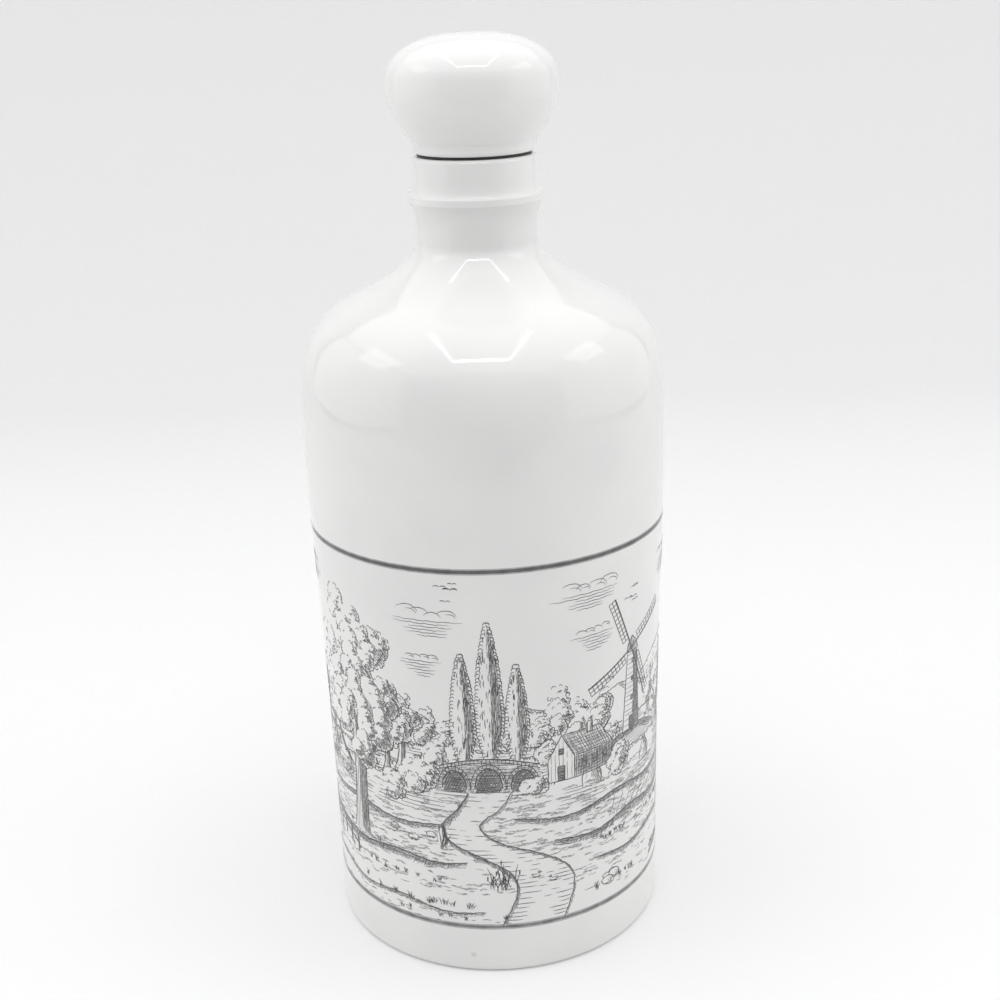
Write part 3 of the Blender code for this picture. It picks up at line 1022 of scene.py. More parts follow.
# %% Haystacks
def haystack(u, v, width, height):
    left, right = flanks(u, v, width, height, ((0, 0.5), (0.45, 0.5), (0.88, 0.2), (1, 0)))
    ink(((u, v + height - 0.4), (u + 0.1, v + height + 1.2)), 0.3)
    ink(left, 0.24, 0.3)
    ink(right, 0.32, 0.3)
    for _ in range(int(width * height * 0.55)):
        across, up = hand.uniform(-0.45, 0.48), hand.uniform(0.05, 0.92)
        if across < 0 and hand.random() < 0.5:
            continue
        reach = 1 - up ** 2.2
        start = np.array((u + width * across * reach, v + height * up))
        ink((start, start + (across * 1.0, -hand.uniform(0.8, 1.8))), 0.18, 0.6, 0.03)
    hatch(np.vstack((right - (width * 0.28, 0), right[::-1])), -70, 0.45, 0.17, 0.3)
    wash(np.vstack((right - (width * 0.4, 0), right[::-1])), -70)
    cover(np.vstack((left, right[::-1])))
    dashes(u - width * 0.3, u + width * 0.8, v - 0.7, v - 0.1, 8, 2.2, 0.2)

# %% [markdown]
# The sails turn in front of the cap, and the cap sits over the tower, so they are drawn in that order.

# %% Windmill
SAIL_TURN = 24


def windmill(u, v, tall):
    """A tower mill: four latticed sails, a boat-shaped cap and a tapered round tower."""
    hub = np.array((u - 0.5, v + tall * 0.84))
    reach = tall * 0.60
    for arm in range(4):
        angle = math.radians(SAIL_TURN + 90 * arm)
        along = np.array((math.cos(angle), math.sin(angle)))
        across = np.array((-along[1], along[0]))
        tip = hub + along * reach
        ink((hub, tip), 0.42, 0.1, 0.01)
        start, width = 0.2, tall * 0.085
        for offset in (0.5, 1.0):
            aside = across * width * offset
            ink((hub + along * reach * start + aside, tip + aside), 0.2, 0.1, 0.01)
        for step in range(11):
            spot = hub + along * reach * (start + (1 - start) * step / 10)
            ink((spot - across * 0.3, spot + across * width), 0.19, 0.1, 0.01)
    ink(arc(hub, 0.5, 0, 360), 0.4, 0)
    cap_profile = ((-2.3, 0.80), (-1.9, 0.88), (-0.2, 0.955), (1.6, 0.89), (2.5, 0.80))
    cap = [(u + out, v + tall * up) for out, up in cap_profile]
    hatch(cap, 70, 0.38, 0.19)
    solid(cap, 0.3)
    eaves = v + tall * 0.80
    tower = ((u - 3.5, v), (u + 3.5, v), (u + 2.0, eaves), (u - 2.0, eaves))
    opening(u - 0.9, v, 1.7, tall * 0.14)
    for share in (0.3, 0.5, 0.68):
        opening(u - 0.5 + share * 0.6, v + tall * share, 0.8, 1.1)
    shade = ((u + 0.6, v), (u + 3.5, v), (u + 2.0, eaves), (u + 0.4, eaves))
    hatch(shade, 92, 0.36, 0.2, 0.1, 0.3)
    hatch(shade, 0, 0.8, 0.16, 0.2)
    wash(shade, 92, 0.5, 0.46, 0)
    hatch(tower, 0, 1.3, 0.13, 0.6)
    solid(tower, 0.28)

# %% [markdown]
# The dark inside of each arch is drawn and covered first, so that the courses of the face end at it.

# %% Bridge
def bridge(u, v, length, tall, arches):
    """A stone bridge. Its arches are dark, and its face is built of rough courses."""
    def deck(share):
        return v + tall * (0.72 + 0.28 * math.sin(math.pi * share))

    top = np.array([(u + length * share, deck(share)) for share in np.linspace(0, 1, 25)])
    for arch_index in range(arches):
        middle = (arch_index + 0.5) / arches
        size = length / arches * (0.40 if arch_index == arches // 2 else 0.36)
        centre = (u + length * middle, v + tall * 0.05)
        upright = (deck(middle) - v) / size
        squash = upright * 0.66
        foot = [(centre[0] - size, v - 0.5), (centre[0] + size, v - 0.5)]
        dark = np.vstack((arc(centre, size, 0, 180, squash, 15), foot))
        far_edge = arc((centre[0] + size * 0.22, centre[1]), size, 20, 170, upright * 0.62, 15)
        ink(far_edge, 0.2, 0.3)
        hatch(dark, 0, 0.36, 0.24, 0.15, 0.3)
        hatch(dark, 62, 0.55, 0.2, 0.2, 0.3)
        wash(dark, 0, 0.5, 0.5, 0)
        ink(dark[:15], 0.36, 0.2)
        cover(dark)
        for angle in range(12, 180, 14):
            joint = [on_rim(centre, reach, angle, squash) for reach in (size, size + 1.1)]
            ink(joint, 0.2, 0.2, 0.01)
        ink(arc(centre, size + 1.1, 0, 180, squash * size / (size + 0.35), 15), 0.2, 0.2)
    ink(top, 0.34, 0.2, 0.04)
    ink(top - (0, 0.9), 0.22, 0.2, 0.04)
    for share in np.linspace(0.03, 0.97, 26):
        spot = np.array((u + length * share, deck(share)))
        ink((spot, spot - (0, 0.9)), 0.17, 0.1, 0.01)
    face = np.vstack((top, [(u + length + 1.2, v - 0.6), (u - 1.2, v - 0.6)]))
    hatch(face - (0, 1.2), 0, 0.95, 0.16, 0.85)
    hatch(face, 90, 1.7, 0.13, 0.9)
    wash(face, 0, 0.6, 0.44, 0.45)
    cover(face)
    ink(((u - 1.2, v - 0.4), (u, deck(0))), 0.26)
    ink(((u + length + 1.2, v - 0.4), (u + length, deck(1))), 0.26)

# %% [markdown]
# Far hills and hedges get thinner lines, set wider, so they fade behind the rest. A hill's strokes hang
# from its ridge, mostly on the side away from the light.

# %% Hills and hedges
HILL_FOOT = 55


def hill(line, spacing=0.7, width=0.16):
    line = curved(line)
    ink(line, 0.22, 0.4, 0.12)
    spots = evenly(line, spacing)
    slopes = np.interp(np.linspace(0, 1, len(spots)), np.linspace(0, 1, len(line)), np.gradient(line[:, 1]))
    for spot, slope in zip(spots, slopes):
        if slope > 0.02 and hand.random() < 0.6:
            continue
        drop = hand.uniform(1.2, 4.2) * (1.0 if slope <= 0 else 0.5)
        angle = math.radians(-48 + hand.uniform(-6, 6))
        start = spot - (0, 0.15)
        if hand.random() < 0.85:
            ink((start, start + (drop * math.cos(angle), drop * math.sin(angle))), width, 0.7, 0.05)
            soft((start, start + (drop * math.cos(angle) * 0.9, drop * math.sin(angle) * 0.9)), 0.35)
    cover(np.vstack((line, [(line[-1][0], HILL_FOOT), (line[0][0], HILL_FOOT)])))


def hedge(first, last, v, height, slope=0.0):
    u = first
    while u < last:
        size = height * hand.uniform(0.6, 1.15)
        base = v + slope * (u - first) + hand.uniform(-0.1, 0.1)
        ink(arc((u, base), size, 10, 170, 1.0, 6), 0.22, 0.4, 0.02)
        for _ in range(2):
            spot = (u + hand.uniform(-0.4, 0.6) * size, base)
            ink((spot, (spot[0] - 0.2, spot[1] + size * hand.uniform(0.4, 0.8))), 0.22, 0.5, 0.02)
        cover(arc((u, base), size, 0, 180, 1.0, 7))
        u += size * hand.uniform(1.1, 1.6)
    rise = slope * (last - first)
    ink(((first, v), ((first + last) / 2, v + rise / 2), (last, v + rise)), 0.24)

# %% [markdown]
# A cloud is a few open curls over level strokes, and a bird is a pair of small wings.

# %% Clouds and birds
def cloud(u, v, width):
    heap = [(u + width * (share - 0.5), v + hand.uniform(-0.4, 0.8), width * hand.uniform(0.12, 0.2))
            for share in (0.18, 0.38, 0.6, 0.82)]
    for at_u, at_v, size in heap:
        ink(arc((at_u, at_v), size, 150 + hand.uniform(-20, 20), 10, 0.7, 10), 0.17, 0.75, 0.08)
        if hand.random() < 0.7:
            ink(arc((at_u + size * 0.25, at_v - 0.2), size * 0.6, 120, 0, 0.7, 8), 0.14, 0.75, 0.05)
    for row in range(6):
        reach = width * (0.55 - 0.06 * row) * hand.uniform(0.8, 1.1)
        middle = u + hand.uniform(-0.12, 0.12) * width
        below = v - 1.0 - row * 0.75
        ink(((middle - reach, below), (middle + reach, below)), 0.15, 0.8, 0.12)


def birds(u, v, count):
    for _ in range(count):
        at = (u + hand.uniform(-5, 5), v + hand.uniform(-2.5, 2.5))
        size = hand.uniform(0.5, 0.9)
        for wing in (-size, size):
            ink(arc((at[0] + wing, at[1]), size, 160, 20, 0.6, 6), 0.2, 0.6, 0.01)

# %% [markdown]
# Sheep are a ring of wool curls on short legs, and ducks sit low on the stream.

# %% Sheep and ducks
def sheep(u, v, size, facing):
    head = (u + facing * size * 0.95, v + size * 0.62)
    hatch(oval(head, size * 0.24, 0.8), 20, 0.2, 0.2)
    for angle in range(0, 360, 36):
        spot = on_rim((u, v + size * 0.55), size * 0.68, angle, 0.62)
        ink(arc(spot, 0.3, angle - 90, angle + 90, 1, 5), 0.18, 0.3, 0.01)
    for leg in (-0.42, -0.22, 0.25, 0.45):
        ink(((u + leg * size, v + size * 0.2), (u + leg * size, v - 0.1)), 0.24, 0.1, 0.01)
    hatch(arc((u, v + size * 0.38), size * 0.6, 180, 360, 0.55, 9), 0, 0.24, 0.17)
    cover(oval((u, v + size * 0.55), size * 0.72, 0.62, 14))


def duck(u, v, facing):
    body = arc((u, v), 1.0, 180, 360, 0.55, 8)
    ink(body, 0.24, 0.3, 0.01)
    ink(((u - facing * 1.0, v), (u - facing * 1.3, v + 0.35), (u + facing * 0.45, v + 0.2)), 0.2, 0.4, 0.01)
    ink(arc((u + facing * 0.75, v + 0.75), 0.32, 0, 360, 1, 8), 0.26, 0.1, 0.01)
    ink(((u + facing * 1.05, v + 0.75), (u + facing * 1.45, v + 0.68)), 0.2, 0.2, 0.01)
    ink(((u - 1.8, v - 0.6), (u + 1.9, v - 0.6)), 0.18)
    cover(body)

# %% [markdown]
# Now the picture itself, from front to back: grass, rocks, a fence and a stream with reeds at the lower
# edge.

# %% Foreground
layer = "front"
bank(((-64, 18.8), (-52, 20), (-40, 17.9), (-27, 19), (-14, 17), (-4, 17.4)), 1.3, 0.22, 0.9)
tufts(-62, -4, 18.6, 18, 1.8)
tufts(-44, 2, 15.2, 8, 1.4)
dashes(-62, 2, 13.8, 17, 36, 2.6, 0.18)
rocks(31, 20.5, 4)
tufts(25, 40, 18.4, 14, 1.8)
dashes(22, 50, 15.6, 20.5, 16, 3.6, 0.18)
bank(((50, 17), (58, 19), (70, 18), (84, 19.8)), 1.6, 0.26, 0.5)
tufts(46, 84, 18.4, 26, 1.9)
bank(((92, 18), (106, 20.5), (121, 18.8), (135, 20), (150, 18.2)), 2.4, 0.3, 0.38)
tufts(92, 150, 19, 44, 2.1)
bank(((154, 19), (166, 21.2), (180, 18.8), (194, 19.6)), 2.2, 0.3, 0.4)
tufts(154, 196, 19.4, 34, 2)
fence(((-66, 25.5), (-58, 27.2), (-50, 26.6), (-43, 24.6)), 5, 4.2)
fence(((60, 27), (72, 29.5), (86, 28)), 4.8, 3.8)
reeds(-2.5, 3.5, 24.5, 26, 5)
reeds(-16.5, -12.5, 35.5, 14, 4.2)
reeds(112, 126, 26, 30, 5.2)

# %% [markdown]
# The stream winds down from the bridge to the lower ring line, between two banks.

# %% Stream
duck(9, 27.2, 1)
duck(13.4, 25.4, -1)
left_bank = ((-7, 51), (-9.5, 46.5), (-13.5, 42), (-12, 37), (-3.5, 32.5), (3, 28), (4, 22), (0, 13))
right_bank = ((3.5, 51), (0.5, 46.5), (-4.5, 42), (-0.5, 37.5), (10.5, 33), (17.5, 28), (19, 22), (16, 13))
bank(right_bank[::-1], 1, 0.26, 0.55, 0.9)
bank(left_bank, 1.5, 0.3, 0.5, 0.6)
water(left_bank, right_bank, 1.3)

# %% [markdown]
# One broad tree stands in front on the left and another at the back of the bottle, and long field edges
# lead the eye round.

# %% Broad trees and fields
layer = "trees"
broad_tree(-40, 31.5, 34, 99, 62, 1)
broad_tree(128, 36, 30, 92, 48, 1)
layer = "front"
bank(((-68, 34), (-54, 32.2), (-40, 30.4), (-27, 31.8), (-16, 30.6), (-8, 31.4)), 1.9, 0.38, 0.36)
bank(((14, 36), (26, 35.2), (38, 37.4), (52, 36.2), (66, 38.4), (82, 37)), 2, 0.38, 0.36)
bank(((26, 27.5), (38, 26.4), (50, 28), (62, 27)), 1.4, 0.32, 0.5)
bank(((-66, 42.5), (-52, 41), (-40, 42), (-27, 40.4), (-13, 41.6)), 1.6, 0.34, 0.42)
bank(((4, 43.5), (18, 42), (33, 44.2), (48, 43), (66, 45)), 1.6, 0.36, 0.4)
bank(((84, 38.5), (99, 36.6), (114, 38.2), (132, 36.6), (150, 38), (166, 36.4), (182, 37.6), (202, 34)),
     1.8, 0.36, 0.38)
bank(((66, 45.5), (86, 43.6), (104, 45.2), (124, 43.6), (146, 45.6), (168, 43.6), (188, 45.2), (204, 42.5)),
     1.6, 0.34, 0.42)
for first, last, low, high, count in (
    (-60, -10, 22, 30, 40), (24, 62, 21, 35, 44), (-62, -12, 33, 40, 90), (18, 64, 38, 42, 46),
    (64, 205, 21, 35, 150), (66, 205, 38.5, 43, 120),
):
    dashes(first, last, low, high, count)
for low, high, count in ((22, 31, 330), (31, 42, 800), (42, 50, 700)):
    dapple(-68, 202, low, high, count)
tufts(-58, -14, 25, 14, 1.3)
tufts(26, 60, 32, 16, 1.3)
tufts(66, 200, 30, 36, 1.4)
for step in range(13):
    start = 30 + step * 2.7
    ink(curved(((start, 37.3), (start + 1.4 + step * 0.25, 40), (start + 2.2 + step * 0.55, 42.6)), 5),
        0.18, 0.5, 0.06)
for at, level, size, facing in (
    (-22, 35.6, 1.9, 1), (-17, 37.4, 1.6, -1), (-27.5, 37.2, 1.6, 1), (72, 33, 1.8, -1), (78, 34.4, 1.8, -1),
    (83, 32.4, 1.8, 1), (176, 32.5, 1.8, -1), (183, 31.5, 1.8, 1),
):
    sheep(at, level, size, facing)

# %% [markdown]
# The middle distance is the busiest band: a stone bridge, poplars, a cottage, a windmill on its mound,
# haystacks, hedges, and on the far side a barn and an orchard.

# %% Middle distance
layer = "middle"
for at, level, wide, tall, clumps, shade in (
    (-19, 50, 9.5, 8, 9, 1.2), (8.5, 49.6, 7, 5, 6, 1.2), (33.5, 49.5, 9, 7, 8, 1.2),
    (-56, 46.5, 11, 8, 10, 1.2), (-27, 46.5, 9, 7, 8, 1.2), (-47, 46, 9, 6, 7, 1.1),
    (-21.5, 50.5, 8, 7, 7, 1.1),
):
    bush(at, level, wide, tall, clumps, shade)
bridge(-14.5, 51.5, 25, 8.6, 3)
house(12.5, 52, 7, 11.5, 6, 6.2)
haystack(24.5, 48.6, 5.6, 6.4)
haystack(45.5, 47.6, 4.6, 5.4)
for at, level, top, wide in ((-7.6, 58, 88, 5.4), (-1.2, 58.5, 96, 6), (5.2, 58.5, 85, 5)):
    poplar(at, level, top, wide)
broad_tree(-24, 55, 12, 77, 16, 1.1)
broad_tree(26.5, 56, 8.5, 73, 9, 1.1)
windmill(38.5, 58.5, 26.5)
mound = ((26, 55), (32, 58), (39, 59.4), (46, 58), (52, 55.4))
bank(mound, 2.2, 0.28, 0.42, 0.8)
hedge(28, 52, 52.6, 1.1, 0.02)
hatch(((28, 53.2), (51, 53.6), (47, 57), (39, 58.6), (32, 57)), 12, 0.8, 0.16, 0.4)
cover(((26, 47), (52, 47)) + mound[::-1])
for at, level, wide, top, clumps in (
    (56, 53, 11, 76, 12), (-62, 50, 11, 72, 12), (-53, 53, 10, 70, 9), (-28.5, 53, 9, 70, 8),
):
    broad_tree(at, level, wide, top, clumps, 1.1)
house(72, 52, 8, 14, 7, 6, False, True)
haystack(92, 50, 6, 7)
haystack(99, 51, 5, 5.8)
for at, top in ((104, 82), (109, 88), (114, 79)):
    poplar(at, 55, top, 4.8)
bush(68, 48, 9, 6, 7, 1.1)
bush(112, 47.5, 10, 6, 8, 1.1)
bush(90, 53, 8, 6, 6, 1.1)
for at in (141, 149, 157, 165):
    broad_tree(at, 52, 9.5, 68 + (at % 5), 9, 1.1)
house(172, 52, 6.5, 10, 5.6, 6)
bush(187, 49, 10, 7, 8, 1.1)
poplar(196, 54, 84, 4.8)
hedge(-64, -12, 52, 1.1)
hedge(34, 92, 50.4, 1.1)
hedge(92, 206, 50.2, 1.1)
for first, last in ((-64, -34), (-33, -12), (15, 36), (38, 66), (68, 96), (98, 130), (132, 168), (170, 205)):
    strip = ((first, 44.6), (last, 44.6), (last - 1.5, 49.4), (first + 1.5, 49.4))
    hatch(strip, hand.uniform(-2, 2), 0.95, 0.16, 0.75)
cover(((-66, 42), (206, 42), (206, 50), (-66, 50)))

# %% [markdown]
# Strips of far field lie below the hills, and clouds and birds fill the sky.

# %% Far fields, hills and sky
layer = "far"
for at, wide in (
    (-33, 7), (-15, 7), (-10.5, 6), (12, 6), (17, 8), (23, 6.5), (30, 6), (52, 7), (60, 7), (68, 6),
    (120, 7), (134, 6), (180, 7),
):
    bush(at, 57.6, wide, wide * 0.95, 6, 1.15)
for at, tall in (
    (-17.5, 15), (-12.5, 11), (10.5, 13), (15.5, 19), (20.5, 15.5), (25.5, 12), (47.5, 14), (52, 11),
):
    broad_tree(at, 58.5, 7, 58.5 + tall, 8, 1.2)
for height, rows in (
    (0.85, ((-60, -24, 56), (-20, 40, 59), (62, 110, 57), (112, 168, 58.2), (170, 204, 56.6))),
    (0.75, ((-66, -30, 60.2), (-34, 12, 62.4), (20, 70, 61.8), (74, 128, 61.4), (130, 204, 62))),
):
    for first, last, level in rows:
        hedge(first, last, level, height, hand.uniform(-0.02, 0.02))
for first in range(-64, 204, 18):
    near_strip = ((first, 52.4), (first + 17, 52.6), (first + 15, 57.5), (first + 3, 57.5))
    hatch(near_strip, hand.uniform(-3, 3), 0.85, 0.15, 0.5)
    far_strip = ((first + 4, 59.5), (first + 20, 59.5), (first + 17, 61.6), (first + 7, 61.6))
    hatch(far_strip, hand.choice((0, 0, 58)), 0.7, 0.15, 0.4)
for line in (
    ((-70, 63), (-60, 68), (-50, 71.5), (-40, 69), (-30, 65.4), (-22, 63.5)),
    ((-30, 63.5), (-16, 67.5), (-6, 66), (4, 63.5)),
    ((12, 63.5), (22, 68.6), (33, 72.8), (44, 70), (56, 65.2), (64, 63.4)),
    ((60, 63.2), (74, 70.5), (86, 74), (98, 70.4), (112, 64.4), (122, 63.2)),
    ((116, 63.2), (132, 69), (147, 72.5), (160, 68.6), (172, 64)),
    ((166, 63.6), (180, 71), (190, 73.4), (202, 66)),
):
    hill(line)
hill(((-20, 66), (-8, 71.2), (4, 73.5), (16, 70), (28, 66)), 1.1, 0.14)
for line in (
    ((-74, 66), (-62, 73), (-48, 76.4), (-34, 73.6), (-22, 68), (-12, 66)),
    ((36, 68), (50, 75.6), (62, 77.4), (76, 72), (90, 68)),
    ((94, 68), (108, 75), (120, 77), (134, 72.5), (150, 68)),
    ((150, 68), (166, 76), (178, 75.5), (196, 68)),
):
    hill(line, 1.2, 0.14)

layer = "sky"
for at, level, width in (
    (-15, 96.5, 15), (24, 100.5, 17), (-60, 99.5, 13), (58, 99, 14), (84, 99.5, 18), (112, 97, 15),
    (146, 98.5, 19), (176, 94, 15), (198, 101, 14), (25, 89.5, 11), (-17, 86, 9), (160, 87, 12),
):
    cloud(at, level, width)
for at, level in ((-8, 103), (37, 95), (96, 90), (168, 101)):
    birds(at, level, 5)

for name, strokes in drawn.items():
    print(name, len(strokes), "strokes")

# %% [markdown]
# A film of ink starts as one short edge per stroke. All strokes grow together: each round extrudes the
# ends of those that aren't finished and moves the new ends on. bmesh.ops.solidify then gives the flat
# ribbons a thickness, and the last step bends them round the body, where the film stands 0.03 mm proud.

# %% Ink film
FILM = 0.00006
THIN_FILM = FILM * 0.6
body_places = body_line()
body_heights = [here.y for here in body_places]
body_radii = [here.x for here in body_places]


def ribbon_sides(line, widths):
    across = sideways(line) * widths[:, None] / 2
    return line - across, line + across


def ribbons(strokes):
    shape = bmesh.new()
    stroke_tag = shape.verts.layers.int.new("stroke")
    side_tag = shape.verts.layers.int.new("side")
    sides = [ribbon_sides(line, widths) for line, widths in strokes]
    ends = []
    for index, pair in enumerate(sides):
        verts = [shape.verts.new((*pair[side][0], 0)) for side in (0, 1)]
        for side, vert in enumerate(verts):
            vert[stroke_tag], vert[side_tag] = index, side
        ends.append(shape.edges.new(verts))
    step = 1
    while ends:
        ends = [edge for edge in ends if len(sides[edge.verts[0][stroke_tag]][0]) > step]
        grown = bmesh.ops.extrude_edge_only(shape, edges=ends)["geom"]
        moved = {item for item in grown if isinstance(item, bmesh.types.BMVert)}
        for vert in moved:
            vert.co = (*sides[vert[stroke_tag]][vert[side_tag]][step], 0)
        ends = [item for item in grown if isinstance(item, bmesh.types.BMEdge) and set(item.verts) <= moved]
        step += 1
    return shape


def bent_round(shape):
    for vert in shape.verts:
        u, v, out = vert.co
        height = v / 1000
        radius = float(np.interp(height, body_heights, body_radii)) + out
        angle = u / ROUND_MM * 2 * math.pi
        vert.co = (radius * math.sin(angle), -radius * math.cos(angle), height)


def ink_film(name, strokes, thickness=FILM):
    shape = ribbons(strokes)
    shape.normal_update()
    bmesh.ops.reverse_faces(shape, faces=[face for face in shape.faces if face.normal.z < 0])
    bmesh.ops.solidify(shape, geom=shape.faces[:], thickness=thickness)
    middle = (min(vert.co.z for vert in shape.verts) + max(vert.co.z for vert in shape.verts)) / 2
    bmesh.ops.translate(shape, verts=shape.verts[:], vec=(0, 0, -middle))
    bmesh.ops.recalc_face_normals(shape, faces=shape.faces[:])
    bent_round(shape)
    return finished(name, shape)


# %% [markdown]
# Fired ink is a dark grey enamel. It lies a little thicker in some places than in others, so a fine noise
# makes it lighter and darker, and it shines like the glaze it is fired into.

# %% Fired ink
INK_ROUGHNESS = 0.12
INK_GRAIN = 350
WASH_GRAIN = 1400


def fired_ink(name, dark, pale, grain_scale=INK_GRAIN):
    material, tree, shader = new_material(name, grey(dark), INK_ROUGHNESS)
    colour = two_tone(tree, object_noise(tree, grain_scale, 3), grey(dark), grey(pale))
    tree.links.new(colour, shader.inputs["Base Color"])
    return material


ink_finish = fired_ink("fired_grey_ink", 0.065, 0.125)
ring_finish = fired_ink("fired_ring_grey", 0.08, 0.13)
worn_ring_finish = fired_ink("fired_worn_ring_grey", 0.14, 0.24)
ring_edge_finish = fired_ink("fired_ring_edge", 0.33, 0.45)
wash_finish = fired_ink("fired_pale_grey", 0.26, 0.60, WASH_GRAIN)
washes = drawn.pop("wash")
print_pieces = [ink_film("print_" + name, strokes) for name, strokes in drawn.items()]

# %% [markdown]
# The ring lines were drawn on the wheel with a fine brush, so they are turned like the bottle: a flat
# closed section spun round the axis. The colour thins towards the edges of such a line, so each is a
# dark ring on a wider, paler one.

# %% Ring lines
UPPER_RING_Z = PRINT_HIGH / 1000
LOWER_RING_Z = PRINT_LOW / 1000
UPPER_RING_WIDTH = 0.00082
LOWER_RING_WIDTH = 0.00062
RING_EDGE_WIDTH = 0.00150


def ring_line(name, height, width, thickness):
    radius = float(np.interp(height, body_heights, body_radii))
    low, high = height - width / 2, height + width / 2
    inner, outer = radius - thickness / 2, radius + thickness / 2
    section = [place(outer, high), place(outer, low), place(inner, low), place(inner, high)]
    return turned(name, section, closed=True)


for piece in print_pieces:
    piece.data.materials.append(ink_finish)
for piece, finish in (
    (ink_film("print_wash", washes, THIN_FILM), wash_finish),
    (ring_line("print_upper_ring", UPPER_RING_Z, UPPER_RING_WIDTH, FILM), ring_finish),
    (ring_line("print_upper_ring_edge", UPPER_RING_Z, RING_EDGE_WIDTH, THIN_FILM), ring_edge_finish),
    (ring_line("print_lower_ring", LOWER_RING_Z, LOWER_RING_WIDTH, FILM), worn_ring_finish),
    (ring_line("print_lower_ring_edge", LOWER_RING_Z, RING_EDGE_WIDTH, THIN_FILM), ring_edge_finish),
):
    piece.data.materials.append(finish)
    print_pieces.append(piece)
for piece in print_pieces:
    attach(piece, "bottle")

# %% [markdown]
# The stage is a white table that sweeps up into a backdrop, like the inside of a photographer's light
# tent: one strip of profile, extruded sideways. Its paper has a faint painted glow, and from the table to
# 3 cm up it turns a darker grey with less glow: painted shade for the upright part of the sweep.

# %% Stage
SWEEP_START_Y = 0.26
SWEEP_RADIUS = 0.30
STAGE_HALF_WIDTH = 0.63
STAGE_FRONT_Y = -0.42
STAGE_HEIGHT = 1.6
PAPER_ROUGHNESS = 0.85
PAINTED_SHADE_START_Z = 0.03
TABLE_TONE, TABLE_PAINTED_GLOW = grey(0.785), grey(0.09)
BACKDROP_PAINTED_SHADE_TONE, BACKDROP_PAINTED_GLOW = (0.725, 0.725, 0.73, 1), grey(0.06)


def stage_mesh():
    shape = bmesh.new()
    bend = round_edge(place(SWEEP_START_Y, SWEEP_RADIUS), SWEEP_RADIUS, -90, 0)
    profile = [place(STAGE_FRONT_Y, 0)] + bend + [place(SWEEP_START_Y + SWEEP_RADIUS, STAGE_HEIGHT)]
    verts = [shape.verts.new((-STAGE_HALF_WIDTH, here.x, here.y)) for here in profile]
    edges = [shape.edges.new(pair) for pair in zip(verts, verts[1:])]
    pulled = bmesh.ops.extrude_edge_only(shape, edges=edges)["geom"]
    moved = [item for item in pulled if isinstance(item, bmesh.types.BMVert)]
    bmesh.ops.translate(shape, verts=moved, vec=(2 * STAGE_HALF_WIDTH, 0, 0))
    bmesh.ops.recalc_face_normals(shape, faces=shape.faces[:])
    return finished("stage_sweep", shape, 60)


stage = stage_mesh()
paper, paper_tree, paper_shader = new_material("stage_paper", TABLE_TONE, PAPER_ROUGHNESS)
_, height = place_and_height(paper_tree)
# Painted shade and painted glow: the paper darkens with height, and it glows though it is no lamp.
for socket, low, high in (
    ("Base Color", TABLE_TONE, BACKDROP_PAINTED_SHADE_TONE), ("Emission Color", TABLE_PAINTED_GLOW, BACKDROP_PAINTED_GLOW),
):
    tone = two_tone(paper_tree, height, low, high, 0.0, PAINTED_SHADE_START_Z)
    paper_tree.links.new(tone, paper_shader.inputs[socket])
paper_shader.inputs["Emission Strength"].default_value = 1
stage.data.materials.append(paper)

# %% [markdown]
# Light comes from a wide ceiling, with a frame of brighter strips in it, and softly from both sides. The
# strips draw the bright outlines on the shoulder and the throat.

# %% Lights
DOWN = (0, 0, -1)


def soft_light(name, width, depth, radiance, location, direction=DOWN):
    light = bpy.data.lights.new(name, "AREA")
    light.shape = "RECTANGLE"
    light.size = width
    light.size_y = depth
    light.energy = radiance * math.pi * width * depth
    lamp = bpy.data.objects.new(name, light)
    lamp.location = location
    lamp.rotation_euler = Vector(direction).to_track_quat("-Z", "Y").to_euler()
    bpy.context.scene.collection.objects.link(lamp)
    print(name, round(light.energy, 3), "W")


TENT_WIDTH, TENT_DEPTH = 1.24, 1.03
CEILING_Z = 0.62
WALL_X, WALL_Y, WALL_Z = 0.63, -0.03, 0.31
WALL_DEPTH, WALL_HEIGHT = 1.00, 0.58
PANEL_X, PANEL_Y = 0.64, -0.09
PANEL_WIDTH, PANEL_DEPTH = 0.36, 0.34
FRAME_X = 0.145
FRAME_FRONT_Y = -0.31
FRAME_BACK_Y = 0.075
FRONT_STRIP, SIDE_STRIP = 0.048, 0.018
frame_z = CEILING_Z - 0.01
frame_depth = FRAME_BACK_Y - FRAME_FRONT_Y
frame_mid = (FRAME_BACK_Y + FRAME_FRONT_Y) / 2
soft_light("ceiling", TENT_WIDTH, TENT_DEPTH, 0.93, (0, -0.07, CEILING_Z))
soft_light("ceiling_front", TENT_WIDTH, 0.50, 0.12, (0, -0.835, CEILING_Z))
soft_light("left_wall", WALL_DEPTH, WALL_HEIGHT, 0.70, (-WALL_X, WALL_Y, WALL_Z), (1, 0, 0))
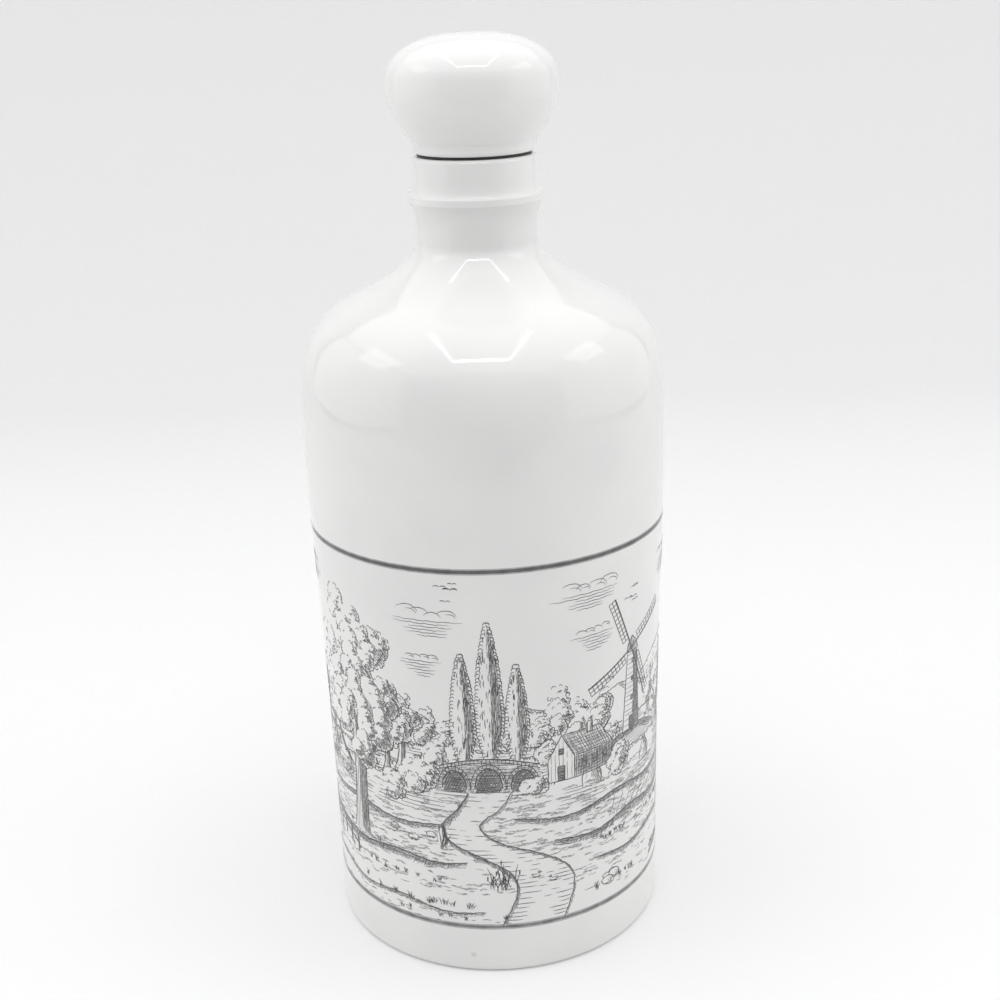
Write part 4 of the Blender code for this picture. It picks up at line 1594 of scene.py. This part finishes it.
soft_light("right_wall", WALL_DEPTH, WALL_HEIGHT, 0.71, (WALL_X, WALL_Y, WALL_Z), (-1, 0, 0))
soft_light("strip_front", 2 * FRAME_X, FRONT_STRIP, 8.0, (0, FRAME_FRONT_Y, frame_z))
for name, side in (("strip_left", -1), ("strip_right", 1)):
    soft_light(name, SIDE_STRIP, frame_depth, 5.0, (side * FRAME_X, frame_mid, frame_z))
for name, side in (("left_panel", -1), ("right_panel", 1)):
    soft_light(name, PANEL_WIDTH, PANEL_DEPTH, 1.5, (side * PANEL_X, PANEL_Y, frame_z))

# %% [markdown]
# The tent is open behind the camera, and the pale room lights the porcelain softly from there. The world
# stands for that room. Rays that come straight from the camera see it paler, so that from the side, where
# the stage ends, the picture stays light without more light on the bottle.

# %% Open end of the tent
OPEN_END_LIGHT = 0.352
OPEN_END_PALE = 0.80
world = bpy.data.worlds.new("tent")
world.use_nodes = True
background = world.node_tree.nodes["Background"]
background.inputs["Color"].default_value = (1, 1, 1, 1)
seen = world.node_tree.nodes.new("ShaderNodeLightPath").outputs["Is Camera Ray"]
strength = mapped(world.node_tree, seen, 0, 1, OPEN_END_LIGHT, OPEN_END_PALE)
world.node_tree.links.new(strength, background.inputs["Strength"])
bpy.context.scene.world = world

# %% [markdown]
# The camera stands where the photographer's stood: about 36 cm in front of the bottle and 23 cm up,
# looking down by 19 degrees, with a very small roll.

# %% Camera
CAMERA_PLACE = (0, -0.3571, 0.2342)
PITCH = 0.3350
YAW = 0.0093
ROLL = -0.0330
LENS_MM = 54
SENSOR_MM = 36
camera_data = bpy.data.cameras.new("camera")
camera_data.lens = LENS_MM
camera_data.sensor_width = SENSOR_MM
camera_data.clip_start = 0.01
camera = bpy.data.objects.new("camera", camera_data)
aim = Matrix.Rotation(-YAW, 4, "Z") @ Matrix.Rotation(math.pi / 2 - PITCH, 4, "X")
camera.matrix_world = Matrix.Translation(CAMERA_PLACE) @ aim @ Matrix.Rotation(ROLL, 4, "Z")
bpy.context.scene.collection.objects.link(camera)
bpy.context.scene.camera = camera

# %% Finish
bpy.context.scene.view_settings.view_transform = "Standard"
